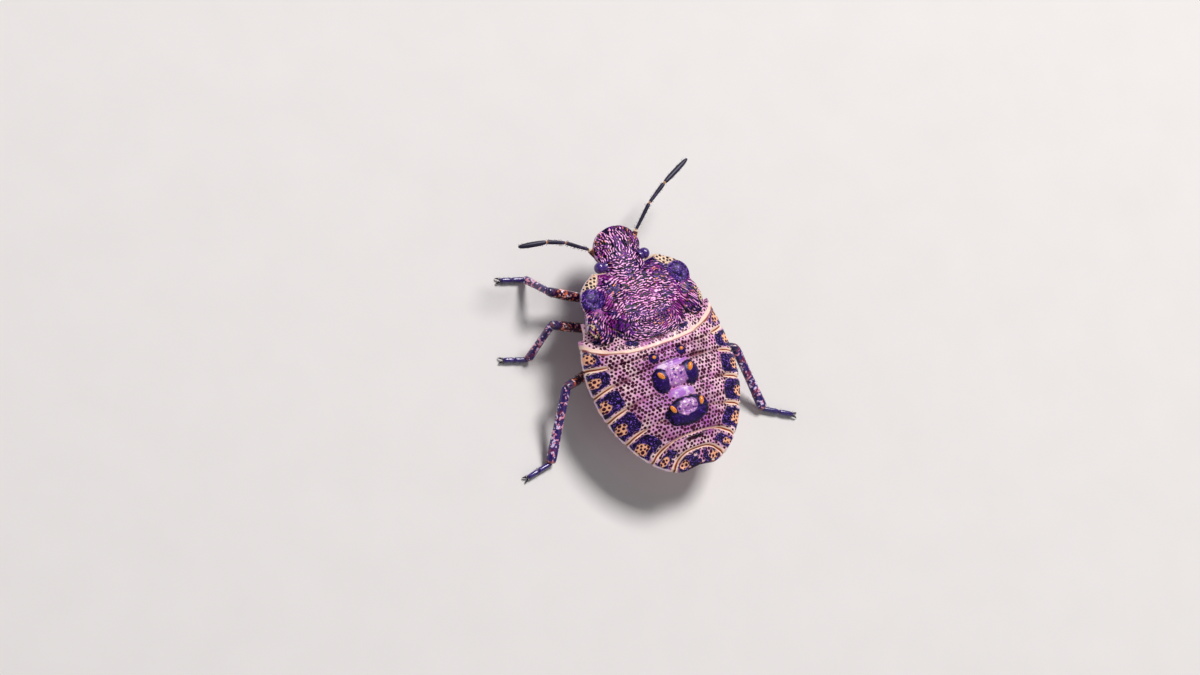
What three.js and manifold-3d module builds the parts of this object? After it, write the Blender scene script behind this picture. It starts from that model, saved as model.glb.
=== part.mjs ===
// Shield bug nymph at life size, standing still on six feet.
// Millimetres. The floor is z = 0, the head points to -Y and the insect's left side is +X.
import * as THREE from "three";
import { mergeVertices } from "three/addons/utils/BufferGeometryUtils.js";
import Module from "manifold-3d";

const wasm = await Module();
wasm.setup();

// Driving dimensions
const bodyLength = 7.8; // front of the head to the tip of the abdomen
const tailY = 4.56;
const headTipY = tailY - bodyLength;
const rimHalfThickness = 0.07;
const crownExponent = 1.6; // how evenly the back curves between its rims
const rimTrough = { at: 0.76, width: 0.09 }; // shallow trough inside the rim, as shares of the half width
const seam = 0.08; // open seam between two touching pieces
const femurThickness = 0.5;
const tibiaThickness = 0.46;
const tarsusThickness = 0.44;
const feelerThickness = 0.44;
const ankleHeight = 0.33;
const soleCut = 0.05; // how much of each foot is cut off flat at the floor
const heelRise = 0.03;
const claws = { root: 0.15, rootSpread: 0.05, reach: 0.1, tipSpread: 0.15, tipHeight: 0.07, radius: 0.1 };

// Heights along the body, as [y, z]: the side rim, the middle of the back and the middle of the belly.
const rimLine = [
  [-2.1, 1.78], [-1.8, 1.84], [-1.22, 1.96], [-0.7, 1.86], [-0.2, 1.7], [0.7, 1.52], [1.8, 1.5],
  [tailY, 1.5],
];
const backLine = [
  [-1.9, 2.08], [-1.3, 2.28], [-0.6, 2.36], [0.5, 2.34], [1.8, 2.3], [2.9, 2.2], [3.6, 2.02],
  [4.1, 1.82], [tailY, 1.6],
];
const bellyLine = [
  [-2.0, 1.05], [-1.3, 0.78], [-0.05, 0.62], [1.5, 0.55], [2.8, 0.65], [3.7, 0.95], [tailY, 1.42],
];

// Lines that part the rings of the body: where each meets the rim, crosses the back and crosses the belly.
const neckLine = { rim: -2.02, back: -1.6, belly: -1.7, bend: 2 };
const collarLine = { rim: -0.98, back: -0.2, belly: -0.85, bend: 2 };
const padLine = { rim: -0.4, back: 0.45, belly: -0.05, bend: 2 };
const waistLine = { rim: -0.03, back: 0.69, belly: 0.5, bend: 3 };
const ringLines = [
  waistLine,
  { rim: 0.7, back: 0.95, belly: 0.8, bend: 3 },
  { rim: 1.57, back: 1.32, belly: 1.35, bend: 3 },
  { rim: 2.4, back: 2.1, belly: 2.2, bend: 3 },
  { rim: 3.2, back: 2.9, belly: 3.0, bend: 3 },
  { rim: 4.0, back: 3.56, belly: 3.6, bend: 3 },
  { rim: 4.45, back: 4.01, belly: 4.05, bend: 3 },
];
const tailLine = { rim: tailY, back: 4.47, belly: 4.45, bend: 2 };
const ringGroove = 0.035;
const ringTrough = 0.035;
const rimNick = 0.04;
const ringShares = [0, 0.12, 0.5, 0.88]; // sections of a ring, and of the two short rings at the tail
const tailRingShares = [0, 0.4, 0.75];
const longRings = 5;

// Half width of the thorax, the abdomen and the head seen from above, as [y, half width].
const thoraxOutline = [
  [-2.02, 1.12], [-1.8, 1.5], [-1.6, 1.74], [-1.4, 1.88], [-1.2, 1.94], [-0.95, 1.89],
  [-0.65, 1.99], [-0.4, 2.06], [-0.2, 2.18], [-0.03, 2.3],
];
const abdomenOutline = [
  [-0.03, 2.32], [0.3, 2.42], [0.7, 2.49], [1.35, 2.53], [2.0, 2.48], [2.6, 2.34], [3.25, 2.05],
  [3.69, 1.78], [4.04, 1.48], [4.22, 1.28], [4.37, 1.06], [4.47, 0.86], [4.535, 0.66],
  [tailY, 0.54],
];
const headOutline = [
  [headTipY, 0.12], [-3.2, 0.3], [-3.1, 0.5], [-2.96, 0.64], [-2.75, 0.76], [-2.5, 0.8],
  [-2.3, 0.73], [-1.5, 0.7],
];
const headRim = [[headTipY, 1.6], [-2.6, 1.7], [-2.0, 1.78], [-1.5, 1.8]];
const headTop = [[headTipY, 1.68], [-3.0, 1.82], [-2.6, 1.93], [-2.1, 2.03], [-1.5, 2.06]];
const headBottom = [[headTipY, 1.52], [-3.0, 1.3], [-2.6, 1.1], [-2.0, 0.98], [-1.5, 0.95]];
const headLean = [[headTipY, -0.14], [-2.7, -0.07], [-2.1, 0], [-1.5, 0]]; // the head turns a little
const headRidge = { from: [-0.02, -2.2, 1.9], to: [-0.13, -3.2, 1.56], radius: 0.19 };

// Rounded swellings of the left side, mirrored on the right.
const shoulderLobe = { x: 1.55, y: -1.25, z: 1.93, size: [0.4, 0.36, 0.19] };
const wingPad = { x: 1.52, y: -0.4, z: 1.93, size: [0.5, 0.58, 0.24] };
const eyeBall = { x: 0.8, y: -2.12, z: 1.84, radius: 0.18 };
const hipBall = [0.3, 0.3, 0.28];

// The folded beak: its root, its bend and its tip.
const beakJoints = {
  root: [0, -2.85, 1.22],
  bend: [0, -2.0, 0.78],
  rearRoot: [0, -2.15, 0.84],
  tip: [0, -0.1, 0.36],
};
const beakRadius = { front: 0.23, rear: 0.21 };

// Joints of each leg: hip, knee, ankle and toe, seen from above, with the heights of the first two.
const legs = {
  fore_left: {
    hip: [0.65, -1.3, 0.74],
    knee: [2.39, -2.03, 1.2],
    ankle: [2.44, -2.74],
    toe: [3.31, -2.98],
  },
  mid_left: {
    hip: [0.68, -0.38, 0.66],
    knee: [2.75, -1.02, 1.3],
    ankle: [3.36, -0.39],
    toe: [4.22, -0.65],
  },
  hind_left: {
    hip: [0.72, 0.42, 0.6],
    knee: [3.0, 0.9, 1.15],
    ankle: [3.96, 2.83],
    toe: [4.92, 3.02],
  },
  fore_right: {
    hip: [-0.65, -1.3, 0.74],
    knee: [-2.18, -0.95, 1.15],
    ankle: [-2.35, -1.4],
    toe: [-2.15, -2.1],
  },
  mid_right: {
    hip: [-0.68, -0.38, 0.66],
    knee: [-2.4, 0.1, 1.1],
    ankle: [-2.8, 0.95],
    toe: [-3.05, 1.7],
  },
  hind_right: {
    hip: [-0.72, 0.42, 0.6],
    knee: [-2.86, 1.45, 1.15],
    ankle: [-3.5, 3.4],
    toe: [-4.5, 3.92],
  },
};

// Joints of each feeler, from its root under the edge of the head to its tip.
const feelers = {
  left: [
    [0.66, -2.5, 1.6],
    [0.83, -2.77, 1.72],
    [1.59, -3.18, 1.9],
    [2.2, -3.37, 1.98],
    [3.1, -3.52, 1.85],
  ],
  right: [
    [-0.68, -2.52, 1.6],
    [-0.9, -2.88, 1.72],
    [-1.59, -3.52, 1.9],
    [-2.27, -3.94, 1.98],
    [-3.37, -4.44, 1.9],
  ],
};

// Raised scent-gland plates on the back: centre, half sizes, and how deep the centre lies under the back.
const glandPlates = [
  { x: 0.48, y: 1.07, size: [0.2, 0.17, 0.12], sunk: 0.07 },
  { x: 0.4, y: 1.8, size: [0.38, 0.36, 0.14], sunk: 0.04 },
  { x: 0, y: 1.76, size: [0.42, 0.3, 0.12], sunk: 0.02 },
  { x: 0.36, y: 2.86, size: [0.38, 0.4, 0.15], sunk: 0.03 },
  { x: 0, y: 2.9, size: [0.42, 0.34, 0.13], sunk: 0.02 },
];

// Profiles of the limbs: [share of the length, share of the radius].
const femurProfile = [
  [-0.03, 0], [0, 0.6], [0.12, 0.85], [0.4, 1.02], [0.75, 1], [0.98, 0.86], [1.07, 0.5], [1.09, 0],
];
const tibiaProfile = [
  [-0.04, 0], [0, 0.6], [0.1, 0.92], [0.5, 0.94], [0.9, 1.05], [1.02, 0.7], [1.04, 0],
];
const tarsusProfile = [
  [0, 0], [0.02, 0.7], [0.1, 0.95], [0.38, 0.92], [0.5, 0.78], [0.6, 0.96], [0.88, 0.85],
  [0.98, 0.4], [1, 0],
];
const feelerProfile = [[0, 0], [0.03, 0.6], [0.12, 0.9], [0.55, 1], [0.88, 0.92], [0.97, 0.6], [1, 0]];
const feelerTipProfile = [
  [0, 0], [0.03, 0.6], [0.12, 0.9], [0.45, 1.03], [0.7, 0.88], [0.88, 0.55], [0.98, 0.22], [1, 0],
];
const clawProfile = [[0, 0], [0.05, 1], [0.6, 0.8], [1, 0]];
const beakProfile = [[0, 0], [0.03, 0.7], [0.12, 1], [0.7, 0.92], [0.95, 0.6], [1, 0]];

const finishes = {
  plate: { color: 0x6a4a86, roughness: 0.45, metalness: 0.15 },
  back: { color: 0xc9a9b4, roughness: 0.5, metalness: 0.05 },
  eye: { color: 0x2a1846, roughness: 0.2, metalness: 0.0 },
  leg: { color: 0x4a2c4e, roughness: 0.45, metalness: 0.0 },
  foot: { color: 0x35245e, roughness: 0.45, metalness: 0.0 },
  feeler: { color: 0x1e1238, roughness: 0.4, metalness: 0.0 },
};

const sides = { left: 1, right: -1 };
const vector = (p) => new THREE.Vector3(...p);
const mix = THREE.MathUtils.lerp;

// A smooth reading of a list of [place, value] pairs.
function curve(pairs) {
  const places = pairs.map(([place]) => place);
  const values = pairs.map(([, value]) => value);
  const reader = new THREE.CubicInterpolant(places, values, 1, new Float64Array(1));
  return (place) => reader.evaluate(place)[0];
}

const rimAt = curve(rimLine);
const backAt = curve(backLine);
const bellyAt = curve(bellyLine);
const thoraxWidthAt = curve(thoraxOutline);
const abdomenWidthAt = curve(abdomenOutline);

// A closed mesh with shared corners, without the slivers at its poles, as a solid.
function toSolid(geometry) {
  geometry.deleteAttribute("normal");
  geometry.deleteAttribute("uv");
  const merged = mergeVertices(geometry, 1e-4);
  const corners = merged.index.array;
  const kept = [];
  for (let i = 0; i < corners.length; i += 3) {
    const [a, b, c] = corners.slice(i, i + 3);
    if (a !== b && b !== c && c !== a) kept.push(a, b, c);
  }
  const mesh = new wasm.Mesh({
    numProp: 3,
    vertProperties: merged.attributes.position.array,
    triVerts: new Uint32Array(kept),
  });
  return new wasm.Manifold(mesh);
}

const join = (solids) => solids.reduce((whole, solid) => whole.add(solid));
const cut = (solid, cutters) => cutters.reduce((rest, cutter) => rest.subtract(cutter), solid);
const largest = (solid) => solid.decompose().reduce((a, b) => (a.volume() > b.volume() ? a : b));

// A closed skin over cross-sections from front to rear: the rings of a sphere take their shapes.
function loft(sections, columns) {
  const skin = new THREE.SphereGeometry(1, columns, sections.length + 1);
  const place = skin.attributes.position;
  const ringOf = (section) =>
    Array.from({ length: columns }, (_, k) => sectionPoint(section, (2 * Math.PI * k) / columns));
  const centreOf = (ring) => ring.reduce((sum, p) => sum.add(p), new THREE.Vector3()).divideScalar(columns);
  const rings = sections.map(ringOf);
  const poles = [centreOf(ringOf(sections[0])), centreOf(ringOf(sections.at(-1)))];
  for (let row = 0; row <= rings.length + 1; row++) {
    for (let k = 0; k <= columns; k++) {
      let p = rings[row - 1]?.[k % columns];
      if (row === 0) p = poles[0];
      if (row > rings.length) p = poles[1];
      place.setXYZ(row * (columns + 1) + k, p.x, p.y, p.z);
    }
  }
  return toSolid(skin);
}

// A section of the flat body: a thin rim at both sides, a crowned back, a rounded belly,
// and a shallow trough inside the rim. The section bends, so that its middle lies behind its rims.
function sectionPoint(s, angle) {
  const across = -Math.cos(angle);
  const up = -Math.sin(angle);
  const middle = up > 0 ? s.back : mix(s.back, s.belly, -up);
  const y = mix(middle, s.rim, Math.abs(across) ** s.bend);
  const lip = s.lip * THREE.MathUtils.clamp(4 * up, -1, 1);
  const fromTrough = (Math.abs(across) - rimTrough.at) / rimTrough.width;
  const trough = s.trough * Math.exp(-(fromTrough ** 2));
  const crown = (s.top - s.height - s.lip) * Math.abs(up) ** crownExponent - trough;
  const keel = (s.bottom - s.height + s.lip) * up * up;
  return new THREE.Vector3(s.lean + s.halfWidth * across, y, s.height + lip + (up > 0 ? crown : keel));
}

// A section between two ring lines, at share t, moved by shift along the body and swollen by grow.
function trunkSection(from, to, t, widthAt, { shift = 0, grow = 0, trough = 0, dip = 0, nick = 0 } = {}) {
  const rim = mix(from.rim, to.rim, t);
  const back = mix(from.back, to.back, t);
  const belly = mix(from.belly, to.belly, t);
  return {
    rim: rim + shift,
    back: back + shift,
    belly: belly + shift,
    bend: mix(from.bend, to.bend, t),
    lean: 0,
    halfWidth: widthAt(rim) - nick + grow,
    height: rimAt(rim),
    top: backAt(back) - dip + grow,
    bottom: bellyAt(belly) + dip - grow,
    lip: rimHalfThickness + grow,
    trough,
  };
}

// A ring of the thorax between two lines, half a seam short of each.
function thoraxRing(from, to, shares, trough, grow) {
  const sections = shares.map((t) => {
    const end = (1 - 2 * t) * (seam / 2 - grow);
    return trunkSection(from, to, t, thoraxWidthAt, { shift: end, grow, trough });
  });
  return loft(sections, 28);
}

function ellipsoid(centre, size, columns = 16, rows = 10) {
  const ball = new THREE.SphereGeometry(1, columns, rows);
  ball.scale(...size);
  ball.translate(...centre);
  return toSolid(ball);
}

const pair = (make) => join([make(1), make(-1)]);

function swelling({ x, y, z, size }, side, grow) {
  return ellipsoid([side * x, y, z], size.map((half) => half + grow));
}

// First ring of the thorax, with a rounded, upturned lobe at each shoulder.
function prothorax(grow = 0) {
  const lobe = (side) => swelling(shoulderLobe, side, grow);
  const ring = thoraxRing(neckLine, collarLine, [0, 0.12, 0.26, 0.45, 0.65, 0.85, 1], 0.09, grow);
  return join([ring, pair(lobe)]);
}

// Second ring, with a wing pad at each side that reaches back over the third.
function mesothorax(grow = 0) {
  const pad = (side) => swelling(wingPad, side, grow);
  const ring = thoraxRing(collarLine, padLine, [0, 0.3, 0.65, 1], 0.05, grow);
  return join([ring, pair(pad)]);
}

const metathorax = (grow = 0) => thoraxRing(padLine, waistLine, [0, 0.5, 1], 0.04, grow);

// Abdomen of seven rings, with a groove and a nick in the rim at each line between them.
function abdomenShell(grow = 0) {
  const lines = [...ringLines, tailLine];
  const sections = lines.slice(1).flatMap((to, i) => {
    const shares = i < longRings ? ringShares : tailRingShares;
    return shares.map((t) => {
      const onLine = t === 0 && i > 0;
      const start = i === 0 && t === 0 ? seam / 2 - grow : 0;
      const marks = onLine ? { dip: ringGroove, nick: rimNick } : {};
      const options = { shift: start, grow, trough: ringTrough, ...marks };
      return trunkSection(lines[i], to, t, abdomenWidthAt, options);
    });
  });
  sections.push(trunkSection(lines.at(-2), tailLine, 1, abdomenWidthAt, { grow }));
  return loft(sections, 36);
}

function abdomen() {
  const raised = glandPlates.flatMap(({ x, y, size, sunk }) => {
    const centres = x ? [x, -x] : [0];
    return centres.map((cx) => ellipsoid([cx, y, backAt(y) - sunk], size, 14, 8));
  });
  return join([abdomenShell(), ...raised]);
}

// Head: a broad rounded shovel, with a low ridge between its two cheeks.
function head(grow = 0) {
  const tables = [headOutline, headRim, headTop, headBottom, headLean];
  const [widthAt, rimHeightAt, topAt, bottomAt, leanAt] = tables.map(curve);
  const rows = [headTipY, -3.2, -3.1, -2.96, -2.78, -2.55, -2.3, -2.0, -1.75, -1.5];
  const sections = rows.map((y, i) => {
    const shift = (2 * (i / (rows.length - 1)) - 1) * grow;
    return {
      rim: y + shift,
      back: y + shift,
      belly: y + shift,
      bend: 2,
      lean: leanAt(y),
      halfWidth: widthAt(y) + grow,
      height: rimHeightAt(y),
      top: topAt(y) + grow,
      bottom: bottomAt(y) - grow,
      lip: rimHalfThickness + grow,
      trough: 0.03,
    };
  });
  const ridge = rod(headRidge.from, headRidge.to, headRidge.radius + grow, beakProfile, 8);
  return join([loft(sections, 28), ridge]);
}

function eye(side, grow = 0) {
  const r = eyeBall.radius + grow;
  return ellipsoid([side * eyeBall.x, eyeBall.y, eyeBall.z], [r, r, r], 16, 10);
}

// A tapered rod from one joint to the next, with rounded ends.
function rod(from, to, radius, profile, facets = 9) {
  const start = vector(from);
  const along = vector(to).sub(start);
  const points = profile.map(([share, wide]) => new THREE.Vector2(wide * radius, share * along.length()));
  const shape = new THREE.LatheGeometry(points, facets);
  const turn = new THREE.Quaternion();
  turn.setFromUnitVectors(new THREE.Vector3(0, 1, 0), along.clone().normalize());
  shape.applyQuaternion(turn);
  shape.translate(start.x, start.y, start.z);
  return toSolid(shape);
}

// The folded beak runs back from the front of the head, between the legs.
function beak() {
  const front = rod(beakJoints.root, beakJoints.bend, beakRadius.front, beakProfile, 8);
  const rear = rod(beakJoints.rearRoot, beakJoints.tip, beakRadius.rear, beakProfile, 8);
  return join([front, rear]);
}

function floorBlock() {
  const block = new THREE.BoxGeometry(20, 20, 2);
  block.translate(0, 0, -1);
  return toSolid(block);
}

function femur({ hip, knee }, grow = 0) {
  const ball = ellipsoid(hip, hipBall.map((half) => half + grow), 12, 8);
  return join([rod(hip, knee, femurThickness / 2 + grow, femurProfile), ball]);
}

function tibia({ knee, ankle }, grow = 0) {
  return rod(knee, [...ankle, ankleHeight], tibiaThickness / 2 + grow, tibiaProfile);
}

// A foot lies flat on the floor and ends in two claws.
function tarsus({ ankle, toe }) {
  const start = new THREE.Vector2(...ankle);
  const end = new THREE.Vector2(...toe);
  const ahead = end.clone().sub(start).normalize();
  const aside = new THREE.Vector2(-ahead.y, ahead.x);
  const height = tarsusThickness / 2 - soleCut;
  const at = (base, forward, sideways, z) => {
    const p = base.clone().addScaledVector(ahead, forward).addScaledVector(aside, sideways);
    return [p.x, p.y, z];
  };
  const claw = (side) => {
    const root = at(end, -claws.root, side * claws.rootSpread, height);
    const tip = at(end, claws.reach, side * claws.tipSpread, claws.tipHeight);
    return rod(root, tip, claws.radius, clawProfile, 6);
  };
  const heel = at(start, 0, 0, height + heelRise);
  const sole = rod(heel, at(end, 0, 0, height), tarsusThickness / 2, tarsusProfile, 10);
  return join([sole, pair(claw)]).subtract(floorBlock());
}

const insect = new THREE.Group();
insect.name = "shield_bug";

function addPiece(name, solid, finish) {
  const mesh = largest(solid).getMesh();
  const geometry = new THREE.BufferGeometry();
  geometry.setAttribute("position", new THREE.BufferAttribute(mesh.vertProperties, 3));
  geometry.setIndex(new THREE.BufferAttribute(mesh.triVerts, 1));
  const piece = new THREE.Mesh(geometry, new THREE.MeshStandardMaterial(finishes[finish]));
  piece.name = name;
  insect.add(piece);
}

// Body
const headRoom = head(seam);
const eyeRoom = [eye(1, seam), eye(-1, seam)];
const collarRoom = prothorax(seam);
const padRoom = mesothorax(seam);
const bodyRoom = join([headRoom, collarRoom, padRoom, metathorax(seam), abdomenShell(seam)]);

addPiece("head", cut(head(), eyeRoom), "plate");
addPiece("prothorax", cut(prothorax(), [headRoom, ...eyeRoom]), "plate");
addPiece("mesothorax", cut(mesothorax(), [collarRoom]), "plate");
addPiece("metathorax", cut(metathorax(), [padRoom]), "back");
addPiece("abdomen", cut(abdomen(), [padRoom]), "back");
addPiece("beak", cut(beak(), [bodyRoom]), "feeler");

// Eyes and feelers
for (const [name, side] of Object.entries(sides)) {
  addPiece(`eye_${name}`, eye(side), "eye");
  const joints = feelers[name];
  for (let i = 0; i < joints.length - 1; i++) {
    const last = i === joints.length - 2;
    const radius = feelerThickness / 2;
    const along = vector(joints[i + 1]).sub(vector(joints[i])).normalize();
    const start = vector(joints[i]).addScaledVector(along, i > 0 ? seam / 2 : 0);
    const end = vector(joints[i + 1]).addScaledVector(along, last ? 0 : -seam / 2);
    const segment = rod(start.toArray(), end.toArray(), radius, last ? feelerTipProfile : feelerProfile, 8);
    const clear = i === 0 ? cut(segment, [headRoom, ...eyeRoom]) : segment;
    addPiece(`antenna_${name}_${i + 1}`, clear, "feeler");
  }
}

// Legs
for (const [name, joints] of Object.entries(legs)) {
  addPiece(`femur_${name}`, cut(femur(joints), [bodyRoom]), "leg");
  addPiece(`tibia_${name}`, cut(tibia(joints), [femur(joints, seam)]), "leg");
  addPiece(`tarsus_${name}`, cut(tarsus(joints), [tibia(joints, seam)]), "foot");
}

export default insect;
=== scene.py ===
import bpy
import math
import numpy as np
from mathutils import Matrix, Vector, kdtree


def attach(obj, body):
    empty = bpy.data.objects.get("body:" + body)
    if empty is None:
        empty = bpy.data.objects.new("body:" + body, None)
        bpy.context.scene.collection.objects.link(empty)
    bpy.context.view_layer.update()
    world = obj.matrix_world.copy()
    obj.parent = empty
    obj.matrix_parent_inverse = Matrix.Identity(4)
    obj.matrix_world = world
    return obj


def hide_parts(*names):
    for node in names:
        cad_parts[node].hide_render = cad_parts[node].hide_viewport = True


# Looks of a shield bug nymph, still and at life size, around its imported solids.
# Everything is modelled in millimetres; finishPiece shrinks a piece to metres.
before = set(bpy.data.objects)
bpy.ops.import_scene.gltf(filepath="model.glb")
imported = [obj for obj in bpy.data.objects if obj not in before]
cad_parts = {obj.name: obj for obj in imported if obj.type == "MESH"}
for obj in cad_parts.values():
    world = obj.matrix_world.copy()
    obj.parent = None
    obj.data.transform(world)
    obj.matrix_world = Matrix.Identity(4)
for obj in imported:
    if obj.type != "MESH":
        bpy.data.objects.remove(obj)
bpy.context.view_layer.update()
bpy.ops.object.select_all(action="DESELECT")
print("frame loaded")

sides = {"left": 1, "right": -1}
millimetre = 0.001


# helpers for materials

def colour(hexCode):
    parts = [int(hexCode[i:i + 2], 16) / 255 for i in (1, 3, 5)]
    linear = [c / 12.92 if c <= 0.04045 else ((c + 0.055) / 1.055) ** 2.4 for c in parts]
    return (*linear, 1.0)


def node(material, kind, inputs=None, **settings):
    # adds a node, sets its options, and sets or links its sockets
    made = material.node_tree.nodes.new("ShaderNode" + kind)
    for option, value in settings.items():
        setattr(made, option, value)
    for socket, value in (inputs or {}).items():
        if isinstance(value, bpy.types.NodeSocket):
            material.node_tree.links.new(value, made.inputs[socket])
        else:
            made.inputs[socket].default_value = value
    return made


def newMaterial(name):
    material = bpy.data.materials.new(name)
    material.use_nodes = True
    material.node_tree.nodes.clear()
    return material


# helpers for numbers and fields

def curve(pairs):
    # a smooth reading of [place, value] pairs
    places, values = np.array(pairs, float).T
    slopes = np.gradient(values, places)

    def read(at):
        at = np.clip(at, places[0], places[-1])
        i = np.clip(np.searchsorted(places, at) - 1, 0, len(places) - 2)
        gap = places[i + 1] - places[i]
        t = (at - places[i]) / gap
        return ((2 * t**3 - 3 * t**2 + 1) * values[i] + (t**3 - 2 * t**2 + t) * gap * slopes[i]
                + (3 * t**2 - 2 * t**3) * values[i + 1] + (t**3 - t**2) * gap * slopes[i + 1])
    return read


def soft(low, high, value):
    # 0 at low, 1 at high, smooth between; low may be the larger
    t = np.clip((value - low) / (high - low), 0, 1)
    return t * t * (3 - 2 * t)


def ripple(u, v, seed):
    # smooth random waves from about -1 to 1, one wave for each unit of u and v
    table = np.random.default_rng(seed).uniform(-1, 1, (128, 128))
    i, j = np.floor(u).astype(int), np.floor(v).astype(int)
    f, g = u - i, v - j
    f, g = f * f * (3 - 2 * f), g * g * (3 - 2 * g)

    def corner(di, dj):
        return table[(i + di) % 128, (j + dj) % 128]
    near = corner(0, 0) * (1 - f) + corner(1, 0) * f
    far = corner(0, 1) * (1 - f) + corner(1, 1) * f
    return (near * (1 - g) + far * g) * 1.4


def oval(x, y, cx, cy, rx, ry, turn=0.0):
    # 1 on the edge of an oval, less inside
    c, s = math.cos(turn), math.sin(turn)
    dx, dy = x - cx, y - cy
    return np.hypot((dx * c + dy * s) / rx, (dy * c - dx * s) / ry)


def dome(x, y, cx, cy, rx, ry, height, turn=0.0):
    r = np.clip(oval(x, y, cx, cy, rx, ry, turn), 0, 1)
    return height * (1 - r * r) ** 0.75


def pitsOver(box, spacing, radius, seed, jitter=0.2):
    # pit centres on a loose honeycomb, as [x, y, radius]
    random = np.random.default_rng(seed)
    xs = np.arange(box[0], box[1], spacing)
    ys = np.arange(box[2], box[3], spacing * 0.87)
    px, py = np.meshgrid(xs, ys)
    px = px + np.where(np.arange(len(ys)) % 2, spacing / 2, 0)[:, None]
    px = px + random.uniform(-0.5, 0.5, px.shape) * jitter * spacing * 1.6
    py = py + random.uniform(-0.5, 0.5, py.shape) * jitter * spacing * 1.6
    size = radius * random.uniform(0.7, 1.25, px.shape)
    return np.stack([px.ravel(), py.ravel(), size.ravel()], 1)


def pitDistance(x, y, pits):
    # distance in mm from the edge of the nearest pit, below 0 inside one
    tree = kdtree.KDTree(len(pits))
    for i, (px, py, _) in enumerate(pits):
        tree.insert((px, py, 0), i)
    tree.balance()
    found = [tree.find((a, b, 0)) for a, b in zip(x.ravel(), y.ravel())]
    gap = np.array([f[2] - pits[f[1]][2] for f in found])
    return gap.reshape(x.shape)


# camera, floor and light

view = {
    "target": (1.329, -0.190, 1.191), "toCamera": (0.45399, 0.1, 0.88538),
    "right": (-0.8425, 0.3717, 0.3900), "distance": 250, "lens": 247.5,
    "floor": "#E2E0DD", "floorFleck": "#E8E6E3", "floorSize": 1.6, "roomLight": 0.16,
}


def placeCamera():
    bpy.ops.object.camera_add()
    camera = bpy.context.active_object
    back = Vector(view["toCamera"]).normalized()
    right = Vector(view["right"]).normalized()
    up = back.cross(right)
    place = (Vector(view["target"]) + back * view["distance"]) * millimetre
    camera.matrix_world = Matrix.Translation(place) @ Matrix((right, up, back)).transposed().to_4x4()
    camera.data.lens = view["lens"]
    camera.data.sensor_width = 36
    camera.data.clip_start = 0.01
    camera.data.clip_end = 10
    bpy.context.scene.camera = camera
    return back, right, up


def placeFloor():
    # matt studio paper, which scatters the light evenly
    paper = newMaterial("matt studio paper")
    grain = node(paper, "TexNoise", {"Scale": 900.0, "Detail": 3.0})
    tone = node(paper, "Mix", {0: grain.outputs["Fac"], 6: colour(view["floor"]), 7: colour(view["floorFleck"])},
                data_type="RGBA")
    shader = node(paper, "BsdfPrincipled",
                  {"Base Color": tone.outputs[2], "Roughness": 0.9, "Specular IOR Level": 0.2})
    node(paper, "OutputMaterial", {"Surface": shader.outputs[0]})
    bpy.ops.mesh.primitive_plane_add(size=view["floorSize"])
    floor = bpy.context.active_object
    floor.name = "studioFloor"
    floor.data.materials.append(paper)


def placeLights(back, right, up):
    # soft boxes: a large one at the upper right of the picture, a weaker one at the left, one behind
    boxes = [("keyLight", back * 0.75 + right * 0.85 + up * 1.15, 0.08, 0.66, "#FFFBFC"),
             ("fillLight", back - right * 1.2 - up * 0.1, 0.2, 0.1, "#F4F2FF"),
             ("rearLight", Vector((-0.3, 1, 0.7)), 0.2, 0.07, "#FFFFFF")]
    for name, direction, size, power, tint in boxes:
        direction = direction.normalized()
        bpy.ops.object.light_add(type="AREA", location=direction * 0.25)
        light = bpy.context.active_object
        light.name = name
        light.rotation_mode = "QUATERNION"
        light.rotation_quaternion = direction.to_track_quat("Z", "Y")
        light.data.size = size
        light.data.energy = power
        light.data.color = colour(tint)[:3]
    world = bpy.data.worlds.new("softRoom")
    bpy.context.scene.world = world
    world.use_nodes = True
    world.node_tree.nodes["Background"].inputs["Color"].default_value = colour("#F4F5F8")
    world.node_tree.nodes["Background"].inputs["Strength"].default_value = view["roomLight"]


placeFloor()
placeLights(*placeCamera())
bpy.context.scene.view_settings.view_transform = "Standard"
print("camera, floor and lights placed")


# helpers that every piece uses

def finishPiece(piece, material, nodes, smooth=50):
    # shrinks a piece to metres, gives it its finish, and sets it on the body
    bpy.ops.object.select_all(action="DESELECT")
    bpy.context.view_layer.objects.active = piece
    piece.select_set(True)
    bpy.ops.object.transform_apply(location=True, rotation=True, scale=True)
    bpy.ops.object.mode_set(mode="EDIT")
    bpy.ops.mesh.select_all(action="SELECT")
    bpy.ops.mesh.normals_make_consistent(inside=False)
    bpy.ops.object.mode_set(mode="OBJECT")
    piece.scale = (millimetre,) * 3
    bpy.ops.object.transform_apply(location=True, rotation=True, scale=True)
    bpy.ops.object.shade_smooth_by_angle(angle=math.radians(smooth))
    piece.data.materials.clear()
    piece.data.materials.append(material)
    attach(piece, "root")
    if nodes:
        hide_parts(*nodes)
    piece.select_set(False)


def selectFaces(piece, wanted):
    # leaves edit mode on, with only the faces whose middle is wanted selected
    bpy.ops.mesh.select_mode(type="FACE")
    bpy.ops.mesh.select_all(action="DESELECT")
    bpy.ops.object.mode_set(mode="OBJECT")
    for face in piece.data.polygons:
        face.select = bool(wanted(face.center))
    bpy.ops.object.mode_set(mode="EDIT")


def setMask(piece, name, values):
    # a number for each vertex, which the material reads
    layer = piece.data.attributes.new(name, "FLOAT", "POINT")
    layer.data.foreach_set("value", np.asarray(values, np.float32).ravel())


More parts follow.
